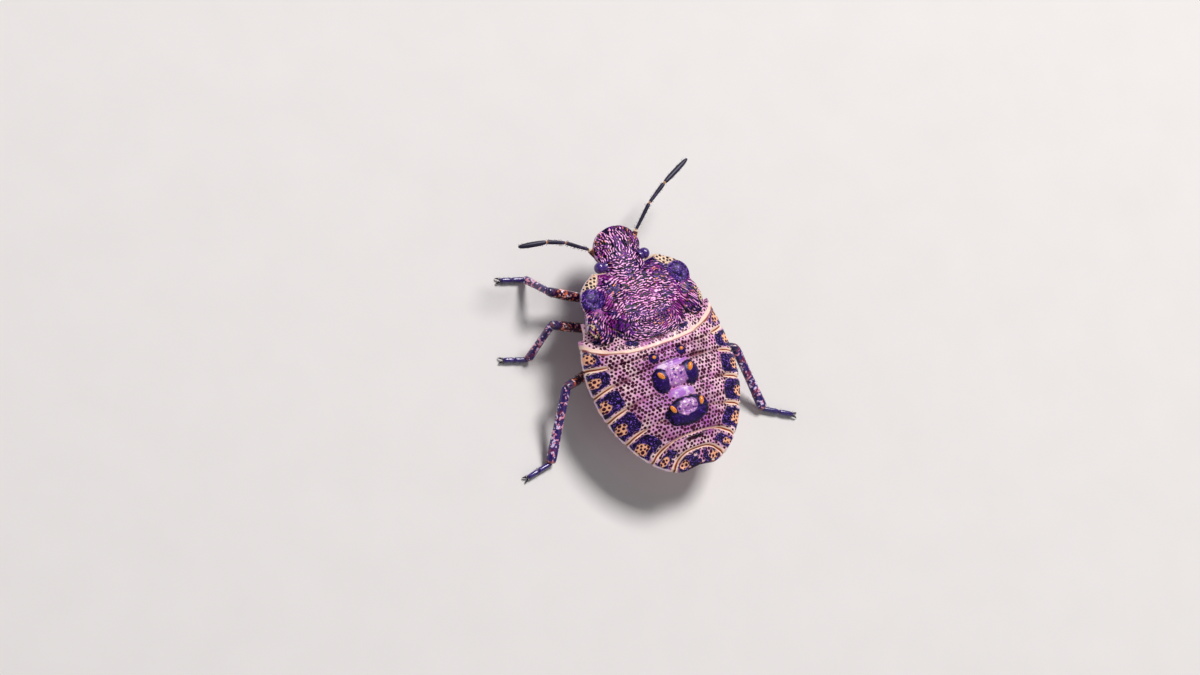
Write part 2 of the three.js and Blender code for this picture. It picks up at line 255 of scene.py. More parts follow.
def skin(name, rings, masks):
    # a grid is rolled round the rings, and its seam and both its gathered ends are merged
    rows, columns = rings.shape[:2]
    bpy.ops.mesh.primitive_grid_add(x_subdivisions=columns, y_subdivisions=rows + 1, size=1)
    piece = bpy.context.active_object
    piece.name = name
    flat = np.empty(len(piece.data.vertices) * 3)
    piece.data.vertices.foreach_get("co", flat)
    flat = flat.reshape(-1, 3) + 0.5
    column = np.rint(flat[:, 0] * columns).astype(int) % columns
    row = np.rint(flat[:, 1] * (rows + 1)).astype(int) - 1
    inner = np.clip(row, 0, rows - 1)
    place = rings[inner, column]
    place[row < 0] = rings[0].mean(0)
    place[row >= rows] = rings[-1].mean(0)
    piece.data.vertices.foreach_set("co", place.ravel())
    piece.data.update()
    for mask, values in masks.items():
        setMask(piece, mask, np.broadcast_to(values, (rows, columns))[inner, column])
    bpy.ops.object.mode_set(mode="EDIT")
    bpy.ops.mesh.select_all(action="SELECT")
    bpy.ops.mesh.remove_doubles(threshold=0.00001)
    bpy.ops.object.mode_set(mode="OBJECT")
    return piece


# materials of the cuticle; each is layered from the ground colour up, by masks on the vertices

def cuticle(name, look):
    material = newMaterial(name)
    place = node(material, "TexCoord")
    inMm = node(material, "Mapping", {"Vector": place.outputs["Object"], "Scale": (1000, 1000, 1000)})
    inMm = inMm.outputs[0]
    cloud = node(material, "TexNoise", {"Vector": inMm, "Scale": look["cloudsPerMm"], "Detail": 4.0})
    share = node(material, "MapRange", {0: cloud.outputs["Fac"], 1: 0.36, 2: 0.64})
    low, high = (colour(hexCode) for hexCode in look["ground"])
    ground = node(material, "Mix", {0: share.outputs[0], 6: low, 7: high}, data_type="RGBA").outputs[2]
    coats = []
    for mask, hexCode, strength in look["layers"]:
        seen = node(material, "Attribute", attribute_name=mask)
        amount = node(material, "Math", {0: seen.outputs["Fac"], 1: strength}, operation="MULTIPLY", use_clamp=True)
        coats.append((amount, hexCode))
    # flecks of light and dark: a fine random pattern, stronger where its mask is
    for mask, hexCode, perMm, low, high, seed in look.get("speckles", []):
        shifted = node(material, "Mapping", {"Vector": inMm, "Location": (seed, seed * 0.7, 0)})
        grain = node(material, "TexNoise", {"Vector": shifted.outputs[0], "Scale": perMm, "Detail": 2.0})
        fleck = node(material, "MapRange", {0: grain.outputs["Fac"], 1: low, 2: high})
        seen = node(material, "Attribute", attribute_name=mask)
        amount = node(material, "Math", {0: seen.outputs["Fac"], 1: fleck.outputs[0]}, operation="MULTIPLY")
        coats.append((amount, hexCode))
    # ridges and pits: crisp thresholds of smooth fields
    for mask, hexCode, low, high, strength in look.get("edges", []):
        seen = node(material, "Attribute", attribute_name=mask)
        amount = node(material, "MapRange", {0: seen.outputs["Fac"], 1: low, 2: high, 3: 0.0, 4: strength})
        coats.append((amount, hexCode))
    for amount, hexCode in coats:
        ground = node(material, "Mix", {0: amount.outputs[0], 6: ground, 7: colour(hexCode)},
                      data_type="RGBA").outputs[2]
    fine = node(material, "TexNoise", {"Vector": inMm, "Scale": look["grainPerMm"], "Detail": 3.0})
    smooth, dull = look["rough"]
    rough = node(material, "MapRange", {0: fine.outputs["Fac"], 1: 0.3, 2: 0.7, 3: smooth, 4: dull})
    bump = node(material, "Bump", {"Height": fine.outputs["Fac"], "Strength": look["bump"], "Distance": 0.00001})
    shader = node(material, "BsdfPrincipled", {
        "Base Color": ground, "Roughness": rough.outputs[0], "Normal": bump.outputs[0],
        "Specular IOR Level": 0.22, "Metallic": look["metallic"], "Coat Weight": look["coat"], "Coat Roughness": 0.22,
    })
    node(material, "OutputMaterial", {"Surface": shader.outputs[0]})
    return material


# insect cuticle with a bloom of wax: pale, half matt, with dark pits and glossy dark plates
backFinish = cuticle("waxy pitted cuticle of the back", {
    "cloudsPerMm": 3.0, "ground": ("#FFE0DE", "#EA9CD2"), "grainPerMm": 30.0, "rough": (0.3, 0.48), "bump": 0.25,
    "metallic": 0.0, "coat": 0.08,
    "layers": [
        # the band layer on the abdomen is partly its own tint and partly painted shade in the grooves between rings
        ("middle", "#AE58B4", 0.85), ("band", "#661C2C", 0.9), ("creamLine", "#FFDEC4", 1.0),
        # the patch layer also carries painted shade just below the abdomen's rim
        ("redLine", "#8C3410", 1.0), ("saddle", "#B070D0", 0.9), ("patch", "#16063C", 1.0), ("plate", "#220650", 1.0),
        # the last layer below is the pale lilac middle of the gland plates, partly its own colour and partly a painted
        # highlight
        ("dark", "#070014", 1.0), ("peach", "#FFBA92", 1.0), ("whiteRim", "#FFECF2", 1.0), ("lilacAndPaintedSheen", "#B478C0", 1.0),
    ],
    "speckles": [
        ("patch", "#8258CC", 22.0, 0.57, 0.63, 0.0), ("plate", "#5A30B0", 20.0, 0.6, 0.67, 2.0),
        ("saddle", "#E8CCE8", 5.0, 0.5, 0.62, 9.0), ("lilacAndPaintedSheen", "#40147C", 11.0, 0.55, 0.64, 3.0),
        # the first flecks below, white on the pale plate middles, are painted highlights
        ("lilacAndPaintedSheen", "#F6DCE4", 12.0, 0.6, 0.67, 8.0), ("patch", "#050010", 12.0, 0.54, 0.62, 5.0),
    ],
    "edges": [("pit", "#420528", 0.008, 0.001, 1.0)],
})
# the same cuticle, wrinkled and with the metallic sheen of its thin outer layers
thoraxFinish = cuticle("metallic wrinkled cuticle of the thorax", {
    "cloudsPerMm": 4.0, "ground": ("#2C0866", "#761290"), "grainPerMm": 34.0, "rough": (0.34, 0.5), "bump": 0.2,
    "metallic": 0.06, "coat": 0.0,
    "layers": [
        ("violet", "#280C78", 0.85), ("magenta", "#A81E98", 0.65), ("disc", "#8C3C9C", 0.5),
        ("indigo", "#301070", 0.92), ("cream", "#FFDEBE", 1.0), ("dark", "#08001A", 1.0), ("whiteRim", "#FBE2F0", 0.9),
    ],
    "speckles": [("indigo", "#9C68D4", 18.0, 0.57, 0.62, 0.0), ("indigo", "#090020", 13.0, 0.54, 0.61, 6.0),
                 ("orange", "#FF9C70", 10.0, 0.58, 0.62, 4.0)],
    "edges": [("fleck", "#FFBCEA", 0.37, 0.52, 1.0), ("fleck", "#060014", 0.04, -0.16, 1.0),
              ("pit", "#0C0014", 0.008, 0.001, 1.0)],
})
print("cuticle mixed")


# the trunk: shared lines and heights, as in the solids

trunk = {
    "rimThickness": 0.07,
    "rim": [[-2.1, 1.78], [-1.8, 1.84], [-1.22, 1.96], [-0.7, 1.86], [-0.2, 1.7], [0.7, 1.52], [1.8, 1.5],
            [4.56, 1.5]],
    "back": [[-1.9, 2.08], [-1.3, 2.28], [-0.6, 2.36], [0.5, 2.34], [1.8, 2.3], [2.9, 2.2], [3.6, 2.02], [4.1, 1.82],
             [4.56, 1.6]],
    "belly": [[-2.0, 1.05], [-1.3, 0.78], [-0.05, 0.62], [1.5, 0.55], [2.8, 0.65], [3.7, 0.95], [4.56, 1.42]],
    "thorax": [[-2.02, 1.12], [-1.8, 1.5], [-1.6, 1.74], [-1.4, 1.88], [-1.2, 1.94], [-0.95, 1.89], [-0.65, 1.99],
               [-0.4, 2.06], [-0.2, 2.18], [-0.03, 2.3]],
    "abdomen": [[-0.03, 2.32], [0.3, 2.42], [0.7, 2.49], [1.35, 2.53], [2.0, 2.48], [2.6, 2.34], [3.25, 2.05],
                [3.69, 1.78], [4.04, 1.48], [4.22, 1.28], [4.37, 1.06], [4.47, 0.86], [4.535, 0.66], [4.56, 0.54]],
}
rimAt, backAt, bellyAt, thoraxWidthAt, abdomenWidthAt = (
    curve(trunk[k]) for k in ("rim", "back", "belly", "thorax", "abdomen"))
# each line: where it meets the rim, crosses the back and crosses the belly, and how it bends
lines = {
    "neck": (-2.02, -1.6, -1.7, 2), "collar": (-0.98, -0.2, -0.85, 2), "pad": (-0.4, 0.45, -0.05, 2),
    "waist": (-0.03, 0.69, 0.5, 3),
}
ringLines = np.array([lines["waist"], (0.7, 0.95, 0.8, 3), (1.57, 1.32, 1.35, 3), (2.4, 2.1, 2.2, 3),
                      (3.2, 2.9, 3.0, 3), (4.0, 3.56, 3.6, 3), (4.45, 4.01, 4.05, 3), (4.56, 4.47, 4.45, 2)])


def roundTheBody(top, under):
    # across (-1 to 1) and up (-1 to 1) of each column, closer together on the back
    even = np.linspace(-1, 1, top + 1)
    back = (0.7 * even + 0.3 * np.sin(even * math.pi / 2))[::-1]
    belly = -np.cos(np.linspace(0, math.pi, under + 1))[1:-1]
    across = np.concatenate([belly, back])
    up = np.concatenate([-np.sqrt(1 - belly**2), np.sqrt(np.clip(1 - back**2, 0, 1))])
    return across[None, :], up[None, :]


def sectionGrid(part, across, up):
    # points of many cross-sections at once: a thin rim, a crowned back and a rounded belly
    part = {k: np.asarray(v, float).reshape(-1, 1) for k, v in part.items()}
    middle = np.where(up > 0, part["back"], part["back"] + (part["belly"] - part["back"]) * -up)
    y = middle + (part["rimY"] - middle) * np.abs(across) ** part["bend"]
    lip = part["lip"] * np.clip(4 * up, -1, 1)
    trough = part["trough"] * np.exp(-(((np.abs(across) - 0.76) / 0.09) ** 2))
    crown = (part["top"] - part["height"] - part["lip"]) * np.abs(up) ** 1.6 - trough
    keel = (part["bottom"] - part["height"] + part["lip"]) * up * up
    z = part["height"] + lip + np.where(up > 0, crown, keel)
    return part["halfWidth"] * across, y, z


def trunkPart(start, end, shares, overlap, trough, sink=0.0):
    # cross-sections of the thorax between two lines; overlap tucks the ends under or over the next piece
    start, end, t = np.array(start), np.array(end), shares[:, None]
    rim, back, belly, bend = (start + (end - start) * t).T
    shift = overlap[1] * shares**8 - overlap[0] * (1 - shares) ** 8
    same = np.ones(len(shares))
    return {
        "rimY": rim + shift, "back": back + shift, "belly": belly + shift, "bend": bend,
        "halfWidth": thoraxWidthAt(rim), "height": rimAt(rim) - sink / 2, "top": backAt(back) - sink,
        "bottom": bellyAt(belly), "lip": same * trunk["rimThickness"], "trough": same * trough,
    }


def marginOf(part, across):
    # distance in mm from the side edge
    return part["halfWidth"][:, None] * (1 - np.abs(across))


def plateSections(look, start, end):
    # columns, rows and cross-sections of one plate of the thorax
    across, up = roundTheBody(look["columns"], look["under"])
    shares = np.linspace(0, 1, look["rows"])
    part = trunkPart(lines[start], lines[end], shares, look["overlap"], look["trough"], look.get("sink", 0.0))
    return across, up, shares, part


def raiseBall(z, up, reach, ball):
    # a round swelling that rises out of the back
    height = ball[0] + ball[1] * np.sqrt(np.clip(1 - reach**2, 0, 1))
    return np.where((up > 0) & (reach < 1), np.maximum(z, height), z)


def blotches(x, y, width, length, seed, low, high):
    # random soft spots
    return soft(low, high, ripple(x / width, y / length, seed))


def relief(fleck, ridge, pit, depth):
    # ridges stand up and pits sink in
    return ridge * np.clip(fleck, -0.8, 0.8) - depth * soft(0.01, -0.014, pit)


# abdomen: seven rings with dark side patches, pits, and two raised gland plates

abdomenLook = {
    "rowsPerRing": [34, 46, 56, 54, 46, 30, 18], "columns": 290, "under": 40,
    "groove": 0.045, "bulge": 0.025, "nick": 0.07, "pitDepth": 0.014,
    "pits": ((-2.7, 2.7, -0.3, 4.7), 0.125, 0.0425, 11),
    "patchDepth": [0.52, 0.62, 0.68, 0.7, 0.64, 0.54, 0.3], "patchGap": 0.108,
    "bandStrength": [0.2, 0.5, 0.7, 0.8, 0.9, 1.0, 1.0],
    "plateDomes": [(0.485, 1.07, 0.18, 0.16, 0.05), (0.48, 1.80, 0.33, 0.38, 0.12), (0, 1.78, 0.5, 0.34, 0.08),
                   (0, 2.88, 0.78, 0.42, 0.15), (0, 1.42, 0.52, 0.2, 0.025), (0, 2.3, 0.45, 0.22, 0.03)],
    # ovals, as centre, half width, half length and turn
    "lobes": [(0.485, 1.07, 0.17, 0.16), (0.50, 1.80, 0.32, 0.39), (0, 2.88, 0.78, 0.44)],
    "frontPaintedSheen": (0, 1.78, 0.4, 0.36), "rearPaintedSheen": (0, 2.77, 0.36, 0.25), "paintedSheenEnd": (0.54, 1.80, 0.27, 0.36),
    "frontSaddle": (0, 1.39, 0.56, 0.13), "rearSaddle": (0, 2.31, 0.44, 0.17),
    "wideStain": (0, 3.69, 0.36, 0.075), "smallStain": (0, 3.42, 0.1, 0.07), "tailSpot": (0.52, 4.36, 0.16, 0.11),
    "rearDimple": (0, 2.86, 0.2, 0.16), "frontDimple": (0, 1.78, 0.16, 0.25),
}


def makeAbdomen():
    look = abdomenLook
    s = np.concatenate([k + np.arange(n) / n for k, n in enumerate(look["rowsPerRing"])] + [[7.0]])
    rim, back, belly, bend = (np.interp(s, np.arange(8), ringLines[:, i]) for i in range(4))
    nearLine = np.exp(-(((s - np.rint(s)) / 0.07) ** 2)) * (s > 0.5) * (s < 6.5)
    tuck = np.clip(1 - s / 0.25, 0, 1)
    part = {
        "rimY": rim - 0.2 * tuck, "back": back - 0.2 * tuck, "belly": belly - 0.2 * tuck, "bend": bend,
        "halfWidth": abdomenWidthAt(rim), "height": rimAt(rim),
        "top": backAt(back) - look["groove"] * nearLine - 0.05 * tuck,
        "bottom": bellyAt(belly) + look["groove"] * nearLine,
        "lip": np.full(len(s), trunk["rimThickness"]), "trough": np.full(len(s), 0.035),
    }
    across, up = roundTheBody(look["columns"], look["under"])
    x, y, z = sectionGrid(part, across, up)
    a, ax = np.abs(across), np.abs(x)
    onBack = (up > 0) * 1.0
    # distances in mm: from the lines between rings, and from the margin
    ring = np.minimum(s.astype(int), 6)[:, None]
    lineY = ringLines[:, 1:2] + (ringLines[:, 0:1] - ringLines[:, 1:2]) * a ** ringLines[:, 3:4]
    columns = np.arange(a.shape[1])[None, :]
    fromLast, toNext = y - lineY[ring, columns], lineY[ring + 1, columns] - y
    offLine = np.minimum(fromLast, toNext)
    middle = (fromLast - toNext) / 2
    halfRing = (fromLast + toNext) / 2
    margin = marginOf(part, across)
    margin = np.where(ring >= 5, np.minimum(margin, lineY[7:8] - y), margin)
    # side patches: rounded boxes that open to the margin, each with a pale spot and a white rim
    wobble = 0.022 * ripple(x / 0.11, y / 0.11, 5) + 0.005 * ripple(x / 0.04, y / 0.04, 6)
    corner, depth = 0.15, np.take(look["patchDepth"], ring)
    px = margin - depth + corner
    py = np.abs(middle) - (halfRing - look["patchGap"]) + corner
    outside = np.hypot(np.maximum(px, 0), np.maximum(py, 0)) + np.minimum(np.maximum(px, py), 0) - corner + wobble
    patch = soft(0.012, -0.012, outside)
    patch = patch * np.where(ring == 0, soft(-0.5, -0.1, ripple(x / 0.13, y / 0.1, 41)), 1)
    whiteRim = soft(0.028, 0.012, margin + wobble * 0.3) * soft(1.0, 0.82, np.abs(middle) / (halfRing - 0.03))
    whiteRim = whiteRim * (ring < 6) * onBack
    spotSize = np.where(ring == 5, 0.7, 1)
    spot = np.hypot((margin - 0.15) / 0.165, middle / np.minimum(0.155, halfRing * 0.44)) / spotSize + wobble * 9
    peach = soft(1.08, 0.95, spot) * (ring < 6)
    tailSpot = soft(1.1, 0.9, oval(ax, y, *look["tailSpot"]) + wobble * 7) * (ring == 6)
    peach = np.maximum(peach, tailSpot)
    tailDark = soft(0.045, 0.07, fromLast) * (ring == 6) * soft(-0.7, -0.45, ripple(x / 0.12, y / 0.1, 31))
    patch = np.maximum(patch * (ring < 6), tailDark * soft(0.85, 0.7, ax))
    patch = patch * (1 - peach) * (1 - whiteRim)
    # lines between the rings: cream, red brown and cream at the sides; across the back only a dark red-brown band,
    # partly the bug's own tint and partly painted shade in the groove between rings
    nearRim = soft(0.85, 0.45, margin)
    strength = np.take(look["bandStrength"], np.rint(s).astype(int).clip(0, 6))[:, None]
    isWaist = (np.rint(s) == 0)[:, None]
    crossing = soft(0.85, 1.0, strength) * 0.9
    broken = 0.5 * soft(-0.2, 0.4, ripple(x / 0.25, y / 0.5, 35)) * strength * soft(0.3, 0.6, ax)
    wholeLine = np.where(isWaist, 0.95, np.maximum(nearRim, np.maximum(crossing, broken)))
    thin = (np.where(isWaist, 0.6, 0.5) + 0.4 * nearRim) * (1 - 0.3 * crossing)
    redLine = soft(0.036, 0.024, np.abs(offLine / thin - np.where(isWaist, 0.085, 0))) * wholeLine
    creamShare = np.where(isWaist, 0.85, np.maximum(nearRim, crossing * 0.8))
    creamLine = soft(0.085, 0.065, np.abs(offLine) / thin) * creamShare * (1 - patch)
    # partly painted shade: darkest along each groove between rings
    band = np.exp(-((offLine / 0.085) ** 2)) * strength * (0.65 + 0.5 * ripple(x / 0.3, y / 0.12, 9))
    band = band + 0.35 * soft(0.1, 0.7, ripple(x / 0.6 + y, y / 0.16, 12)) * (ring > 0)
    band = band * soft(0.2, 0.8, ax) * soft(0.2, 0.5, margin)
    # gland plates, their pale lilac middles (partly their own colour, partly a painted highlight) and the smooth
    # saddles before them
    reach = np.minimum.reduce([oval(ax, y, *lobe) for lobe in look["lobes"]]) + wobble * 2
    plate = soft(1.02, 0.94, reach)
    dark = soft(0.7, 0.88, reach) * plate
    lilacAndPaintedSheen = np.maximum(soft(1.1, 0.75, oval(x, y, *look["frontPaintedSheen"]) + wobble * 3),
                        soft(1.05, 0.8, oval(x, y, *look["rearPaintedSheen"]) + wobble * 6))
    lilacAndPaintedSheen = lilacAndPaintedSheen * soft(0.8, 1.0, oval(ax, y, *look["paintedSheenEnd"]) + wobble * 2)
    saddle = np.maximum(soft(1.15, 0.8, oval(x, y, *look["frontSaddle"]) + wobble * 5),
                        soft(1.2, 0.7, oval(x, y, *look["rearSaddle"]) + wobble * 6))
    saddle = saddle * (1 - plate) * (1 - lilacAndPaintedSheen)
    smooth = np.maximum(plate, np.maximum(lilacAndPaintedSheen, saddle))
    stain = np.maximum(soft(1.2, 0.7, oval(x, y, *look["wideStain"]) + 5 * wobble),
                       0.8 * soft(1.2, 0.6, oval(x, y, *look["smallStain"])))
    lilac = soft(1.7, 0.3, ax) * (0.75 + 0.35 * ripple(x / 0.4, y / 0.4, 3)) * soft(0.6, 1.2, y) * soft(4.2, 3.3, y)
    lilac = lilac + 0.5 * blotches(x, y, 0.5, 0.4, 33, 0.2, 0.8)
    # pits: everywhere on the open cuticle and on the pale spots
    pit = pitDistance(x, y, pitsOver(*look["pits"]))
    bare = np.maximum.reduce([smooth, patch, whiteRim, redLine, creamLine * 0.8, (margin < 0.03) * 1.0])
    pit = pit + 0.08 * soft(0.3, 0.8, bare) + 0.012 * (1 - onBack)
    # painted shade: the rim is dark just below its edge, where it overhangs; this goes into the patch mask
    paintedShadeUnderRim = 0.85 * soft(0.0, -0.02, up) * soft(-0.5, -0.3, up) * np.ones_like(x)
    masks = {
        "pit": pit, "patch": np.maximum(patch * np.where(onBack > 0, 1, 0.6), paintedShadeUnderRim),
        "peach": peach * (1 - paintedShadeUnderRim), "whiteRim": whiteRim, "redLine": redLine, "creamLine": creamLine,
        "plate": plate * (1 - lilacAndPaintedSheen) * onBack, "band": np.clip(band, 0, 1) * (1 - smooth) * onBack,
        "middle": np.clip(lilac, 0, 1) * onBack, "saddle": saddle * onBack,
        "dark": np.clip(dark * (1 - lilacAndPaintedSheen) + stain, 0, 1) * onBack, "lilacAndPaintedSheen": lilacAndPaintedSheen * onBack,
    }
    # relief
    x = x - np.sign(across) * look["nick"] * nearLine[:, None] * soft(0.86, 1, a)
    lift = np.zeros_like(z)
    for cx, cy, rx, ry, height in look["plateDomes"]:
        lift = np.maximum(lift, dome(ax, y, cx, cy, rx, ry, height))
    for dimple, end in (("rearDimple", 0.4), ("frontDimple", 0.5)):
        lift = lift - 0.03 * soft(1, end, oval(x, y, *look[dimple]))
    lift = lift + 0.02 * nearRim * np.exp(-(((offLine - 0.075) / 0.03) ** 2)) + 0.012 * patch
    throughRing = np.clip(fromLast / (2 * halfRing + 1e-6), 0, 1)
    lift = lift + look["bulge"] * np.sin(math.pi * throughRing) * soft(0, 0.5, margin)
    lift = lift - look["pitDepth"] * soft(0.012, -0.016, pit) + 0.006 * ripple(x / 0.16, y / 0.16, 21) * (1 - smooth)
    z = z + lift * onBack
    piece = skin("abdomenSkin", np.stack([x, y, z], 2), masks)
    finishPiece(piece, backFinish, ["abdomen"])

    def heightAt(px, py):
        far = (x - px) ** 2 + (y - py) ** 2 + (1 - onBack) * 100
        return z.ravel()[far.argmin()]
    return heightAt


def lineField(x, y, seed, along, across):
    # broken wavy ridges 0.082 mm apart, between a fingerprint and a maze
    bend = ripple(x / 0.25, y / 0.25, seed + 1)
    fine = ripple(x / 0.1, y / 0.1, seed + 2)
    wave = np.cos(2 * math.pi * across / 0.082 + 3.2 * bend + 2.4 * fine)
    breaks = ripple(along / 0.05, across / 0.038, seed)
    density = 0.85 + 0.35 * ripple(x / 0.28, y / 0.22, seed + 3)
    return (0.62 * wave + 0.6 * breaks) * density * (0.74 + 0.32 * soft(1.3, 0.5, np.abs(x)))


# first plate of the thorax: two indigo lobes, pale corners and a wrinkled middle

pronotumLook = {
    "columns": 300, "under": 40, "rows": 150, "overlap": (0, 0.06), "trough": 0.09, "roll": 0.2, "rollShare": 0.06,
    "lobe": (1.55, -1.25, 0.4, 0.36), "ball": (1.93, 0.19), "cream": (1.42, -1.76, 0.5, 0.24, 0.66),
    "callus": (0.77, -1.32, 0.22, 0.16), "mound": (0.7, -1.3, 0.35, 0.25), "blush": (0.5, -1.3, 0.5, 0.3),
    "pits": ((-2.1, 2.1, -2.3, 0.2), 0.125, 0.036, 13), "furrow": -0.95, "arch": 0.14,
}


def makePronotum():
    look = pronotumLook
    across, up, shares, part = plateSections(look, "neck", "collar")
    # the front edge rolls down to the head
    part["top"] = part["top"] - look["roll"] * np.clip(1 - shares / look["rollShare"], 0, 1) ** 2
    x, y, z = sectionGrid(part, across, up)
    onBack, ax, margin = (up > 0) * 1.0, np.abs(x), marginOf(part, across)
    arched = y - look["arch"] * x * x
    lobe = oval(ax, y, *look["lobe"])
    cream = soft(1.12, 0.9, oval(ax, y, *look["cream"]) + 0.05 * ripple(x / 0.1, y / 0.1, 2))
    cream = cream * soft(0.9, 1.05, lobe)
    indigo = soft(1.06, 0.88, lobe)
    callus = soft(1.3, 0.7, oval(ax, y, *look["callus"]) + 0.2 * ripple(x / 0.1, y / 0.1, 4))
    inside = soft(0.0, 0.012, shares[:, None]) * soft(0.0, 0.03, margin) * np.where(onBack, 1, 0.3)
    fleck = lineField(x, y, 40, x, arched) * (1 - indigo) * (1 - 0.6 * callus) * inside
    pit = pitDistance(x, y, pitsOver(*look["pits"])) + 0.06 * (1 - soft(0.3, 0.8, cream * inside))
    masks = {
        "cream": cream * onBack, "indigo": np.maximum(indigo, callus * 0.85), "fleck": fleck * (1 - cream),
        "pit": pit, "whiteRim": soft(0.035, 0.015, margin) * (1 - indigo * 0.3) * onBack,
        "magenta": blotches(x, y, 0.3, 0.22, 6, 0, 0.7), "violet": blotches(x, y, 0.35, 0.3, 7, 0.1, 0.7),
        "disc": 0, "orange": (0.3 + 0.6 * soft(1.3, 0.6, oval(ax, y, *look["blush"]))) * (1 - indigo),
        "dark": soft(0.975, 0.995, shares[:, None]) * 0.85,
    }
    z = raiseBall(z, up, lobe, look["ball"])
    lift = relief(fleck, 0.008, pit, 0.01) - 0.03 * callus + 0.03 * dome(ax, y, *look["mound"], 1)
    lift = lift - 0.03 * soft(0.25, 0.0, np.abs(arched - look["furrow"]))
    piece = skin("pronotum", np.stack([x, y, z + lift * onBack], 2), masks)
    finishPiece(piece, thoraxFinish, ["prothorax"])


# second plate: a ringed disc between two wing pads

mesonotumLook = {
    "columns": 330, "under": 40, "rows": 120, "overlap": (0.14, 0), "trough": 0.05, "centre": -0.2,
    # the rear edge, with its notches and wing pads, as [share of the half width, y]
    "rearEdge": [[0, 0.45], [0.3, 0.42], [0.48, 0.3], [0.6, 0.1], [0.64, 0.05], [0.7, 0.1], [0.79, 0.17],
                 [0.88, 0.1], [0.95, -0.12], [1, -0.4]],
    "pad": (1.52, -0.4, 0.52, 0.72), "ball": (1.95, 0.22), "disc": (0.05, -0.22, 0.85, 0.36),
    "tip": (1.5, 0.04, 0.32, 0.15), "padFront": (1.84, -0.68, 0.22, 0.22), "blush": (0.2, 0.0, 0.5, 0.25),
    "pits": ((-2.2, 2.2, -1.3, 0.6), 0.1, 0.026, 17),
}


def makeMesonotum():
    look = mesonotumLook
    across, up, shares, part = plateSections(look, "collar", "pad")
    x, y, z = sectionGrid(part, across, up)
    onBack, a, ax, margin = (up > 0) * 1.0, np.abs(across), np.abs(x), marginOf(part, across)
    padEdge = curve(look["rearEdge"])
    plain = part["back"][-1] + (part["rimY"][-1] - part["back"][-1]) * a**2
    y = y + (padEdge(a) - plain) * onBack * soft(0.4, 1, shares[:, None])
    rearEdge = padEdge(a) - y
    pad = oval(ax, y, *look["pad"])
    disc = soft(1.2, 0.5, oval(ax, y, *look["disc"]) + 0.2 * ripple(x / 0.2, y / 0.2, 8))
    # ridges: rings about the middle, and a slanting hatch on the pads
    r = np.hypot(x, 1.4 * (y - look["centre"]))
    turn = np.arctan2(1.4 * (y - look["centre"]), x)
    ringed = lineField(x, y, 50, turn * np.maximum(r, 0.35), r)
    hatch = lineField(x, y, 60, x * 0.6 + y * 0.8, ax * 0.8 - y * 0.6)
    inside = soft(0.0, 0.03, shares[:, None]) * soft(0.0, 0.03, margin) * np.where(onBack, 1, 0.3)
    fleck = np.where(soft(0.7, 1.0, ax) > 0.5, hatch, ringed) * inside
    tip = 0.75 * soft(1.15, 0.7, oval(ax, y, *look["tip"]) + 0.2 * ripple(x / 0.07, y / 0.07, 9))
    padFront = 0.85 * soft(1.2, 0.8, oval(ax, y, *look["padFront"]) + 0.2 * ripple(x / 0.08, y / 0.08, 9))
    creamEdge = soft(0.2, 0.15, margin + 0.05 * ripple(x / 0.09, y / 0.09, 5)) * soft(-0.72, -0.6, y)
    creamEdge = creamEdge * soft(0.14, 0.06, y) * blotches(x, y, 0.1, 0.13, 15, -0.3, 0.0)
    seams = np.minimum(np.abs(ax - 1.12 - 0.35 * (y + 0.3)), np.abs(ax - 1.02 + 0.9 * (y - 0.12)))
    darkEdge = soft(0.05, 0.02, rearEdge) + soft(0.04, 0.015, seams) * soft(-0.7, -0.4, y)
    darkEdge = darkEdge + soft(0.06, 0.02, np.abs(margin - 0.2)) * soft(-0.5, -0.3, y) * 0.8 + 0.5 * tip
    pit = pitDistance(x, y, pitsOver(*look["pits"]))
    pit = pit + 0.06 * (1 - soft(0.3, 0.7, np.maximum(creamEdge, disc * 0.8) * inside))
    orange = 0.3 + 0.6 * soft(1.3, 0.6, oval(ax, y, *look["blush"])) + 0.5 * soft(0.35, 0.2, margin)
    masks = {
        "disc": disc * onBack, "fleck": fleck * (1 - creamEdge), "pit": pit, "orange": orange,
        "indigo": np.maximum(tip, padFront), "cream": creamEdge * onBack, "dark": np.clip(darkEdge, 0, 1) * onBack,
        "magenta": blotches(x, y, 0.3, 0.22, 16, 0, 0.7), "violet": blotches(x, y, 0.3, 0.3, 18, 0.1, 0.6),
        "whiteRim": soft(0.03, 0.015, margin) * onBack,
    }
    z = raiseBall(z, up, pad, look["ball"])
    lift = relief(fleck, 0.008, pit, 0.01) - 0.035 * soft(0.09, 0, seams) * soft(-0.8, -0.5, y)
    piece = skin("mesonotum", np.stack([x, y, z + lift * onBack], 2), masks)
    finishPiece(piece, thoraxFinish, ["mesothorax"])


# third ring of the thorax: a pale pitted strip with dark spots

metanotumLook = {
    "columns": 260, "under": 40, "rows": 60, "overlap": (0.3, 0.04), "trough": 0.04, "sink": 0.04, "length": 0.3,
    "innerSpot": (0.92, 0.42, 0.24, 0.1, -0.4), "outerSpot": (1.86, 0.02, 0.2, 0.1),
    "pits": ((-2.5, 2.5, -0.8, 0.9), 0.1, 0.029, 19),
    "unused": ["saddle", "dark", "lilacAndPaintedSheen", "peach", "whiteRim", "plate"],
}


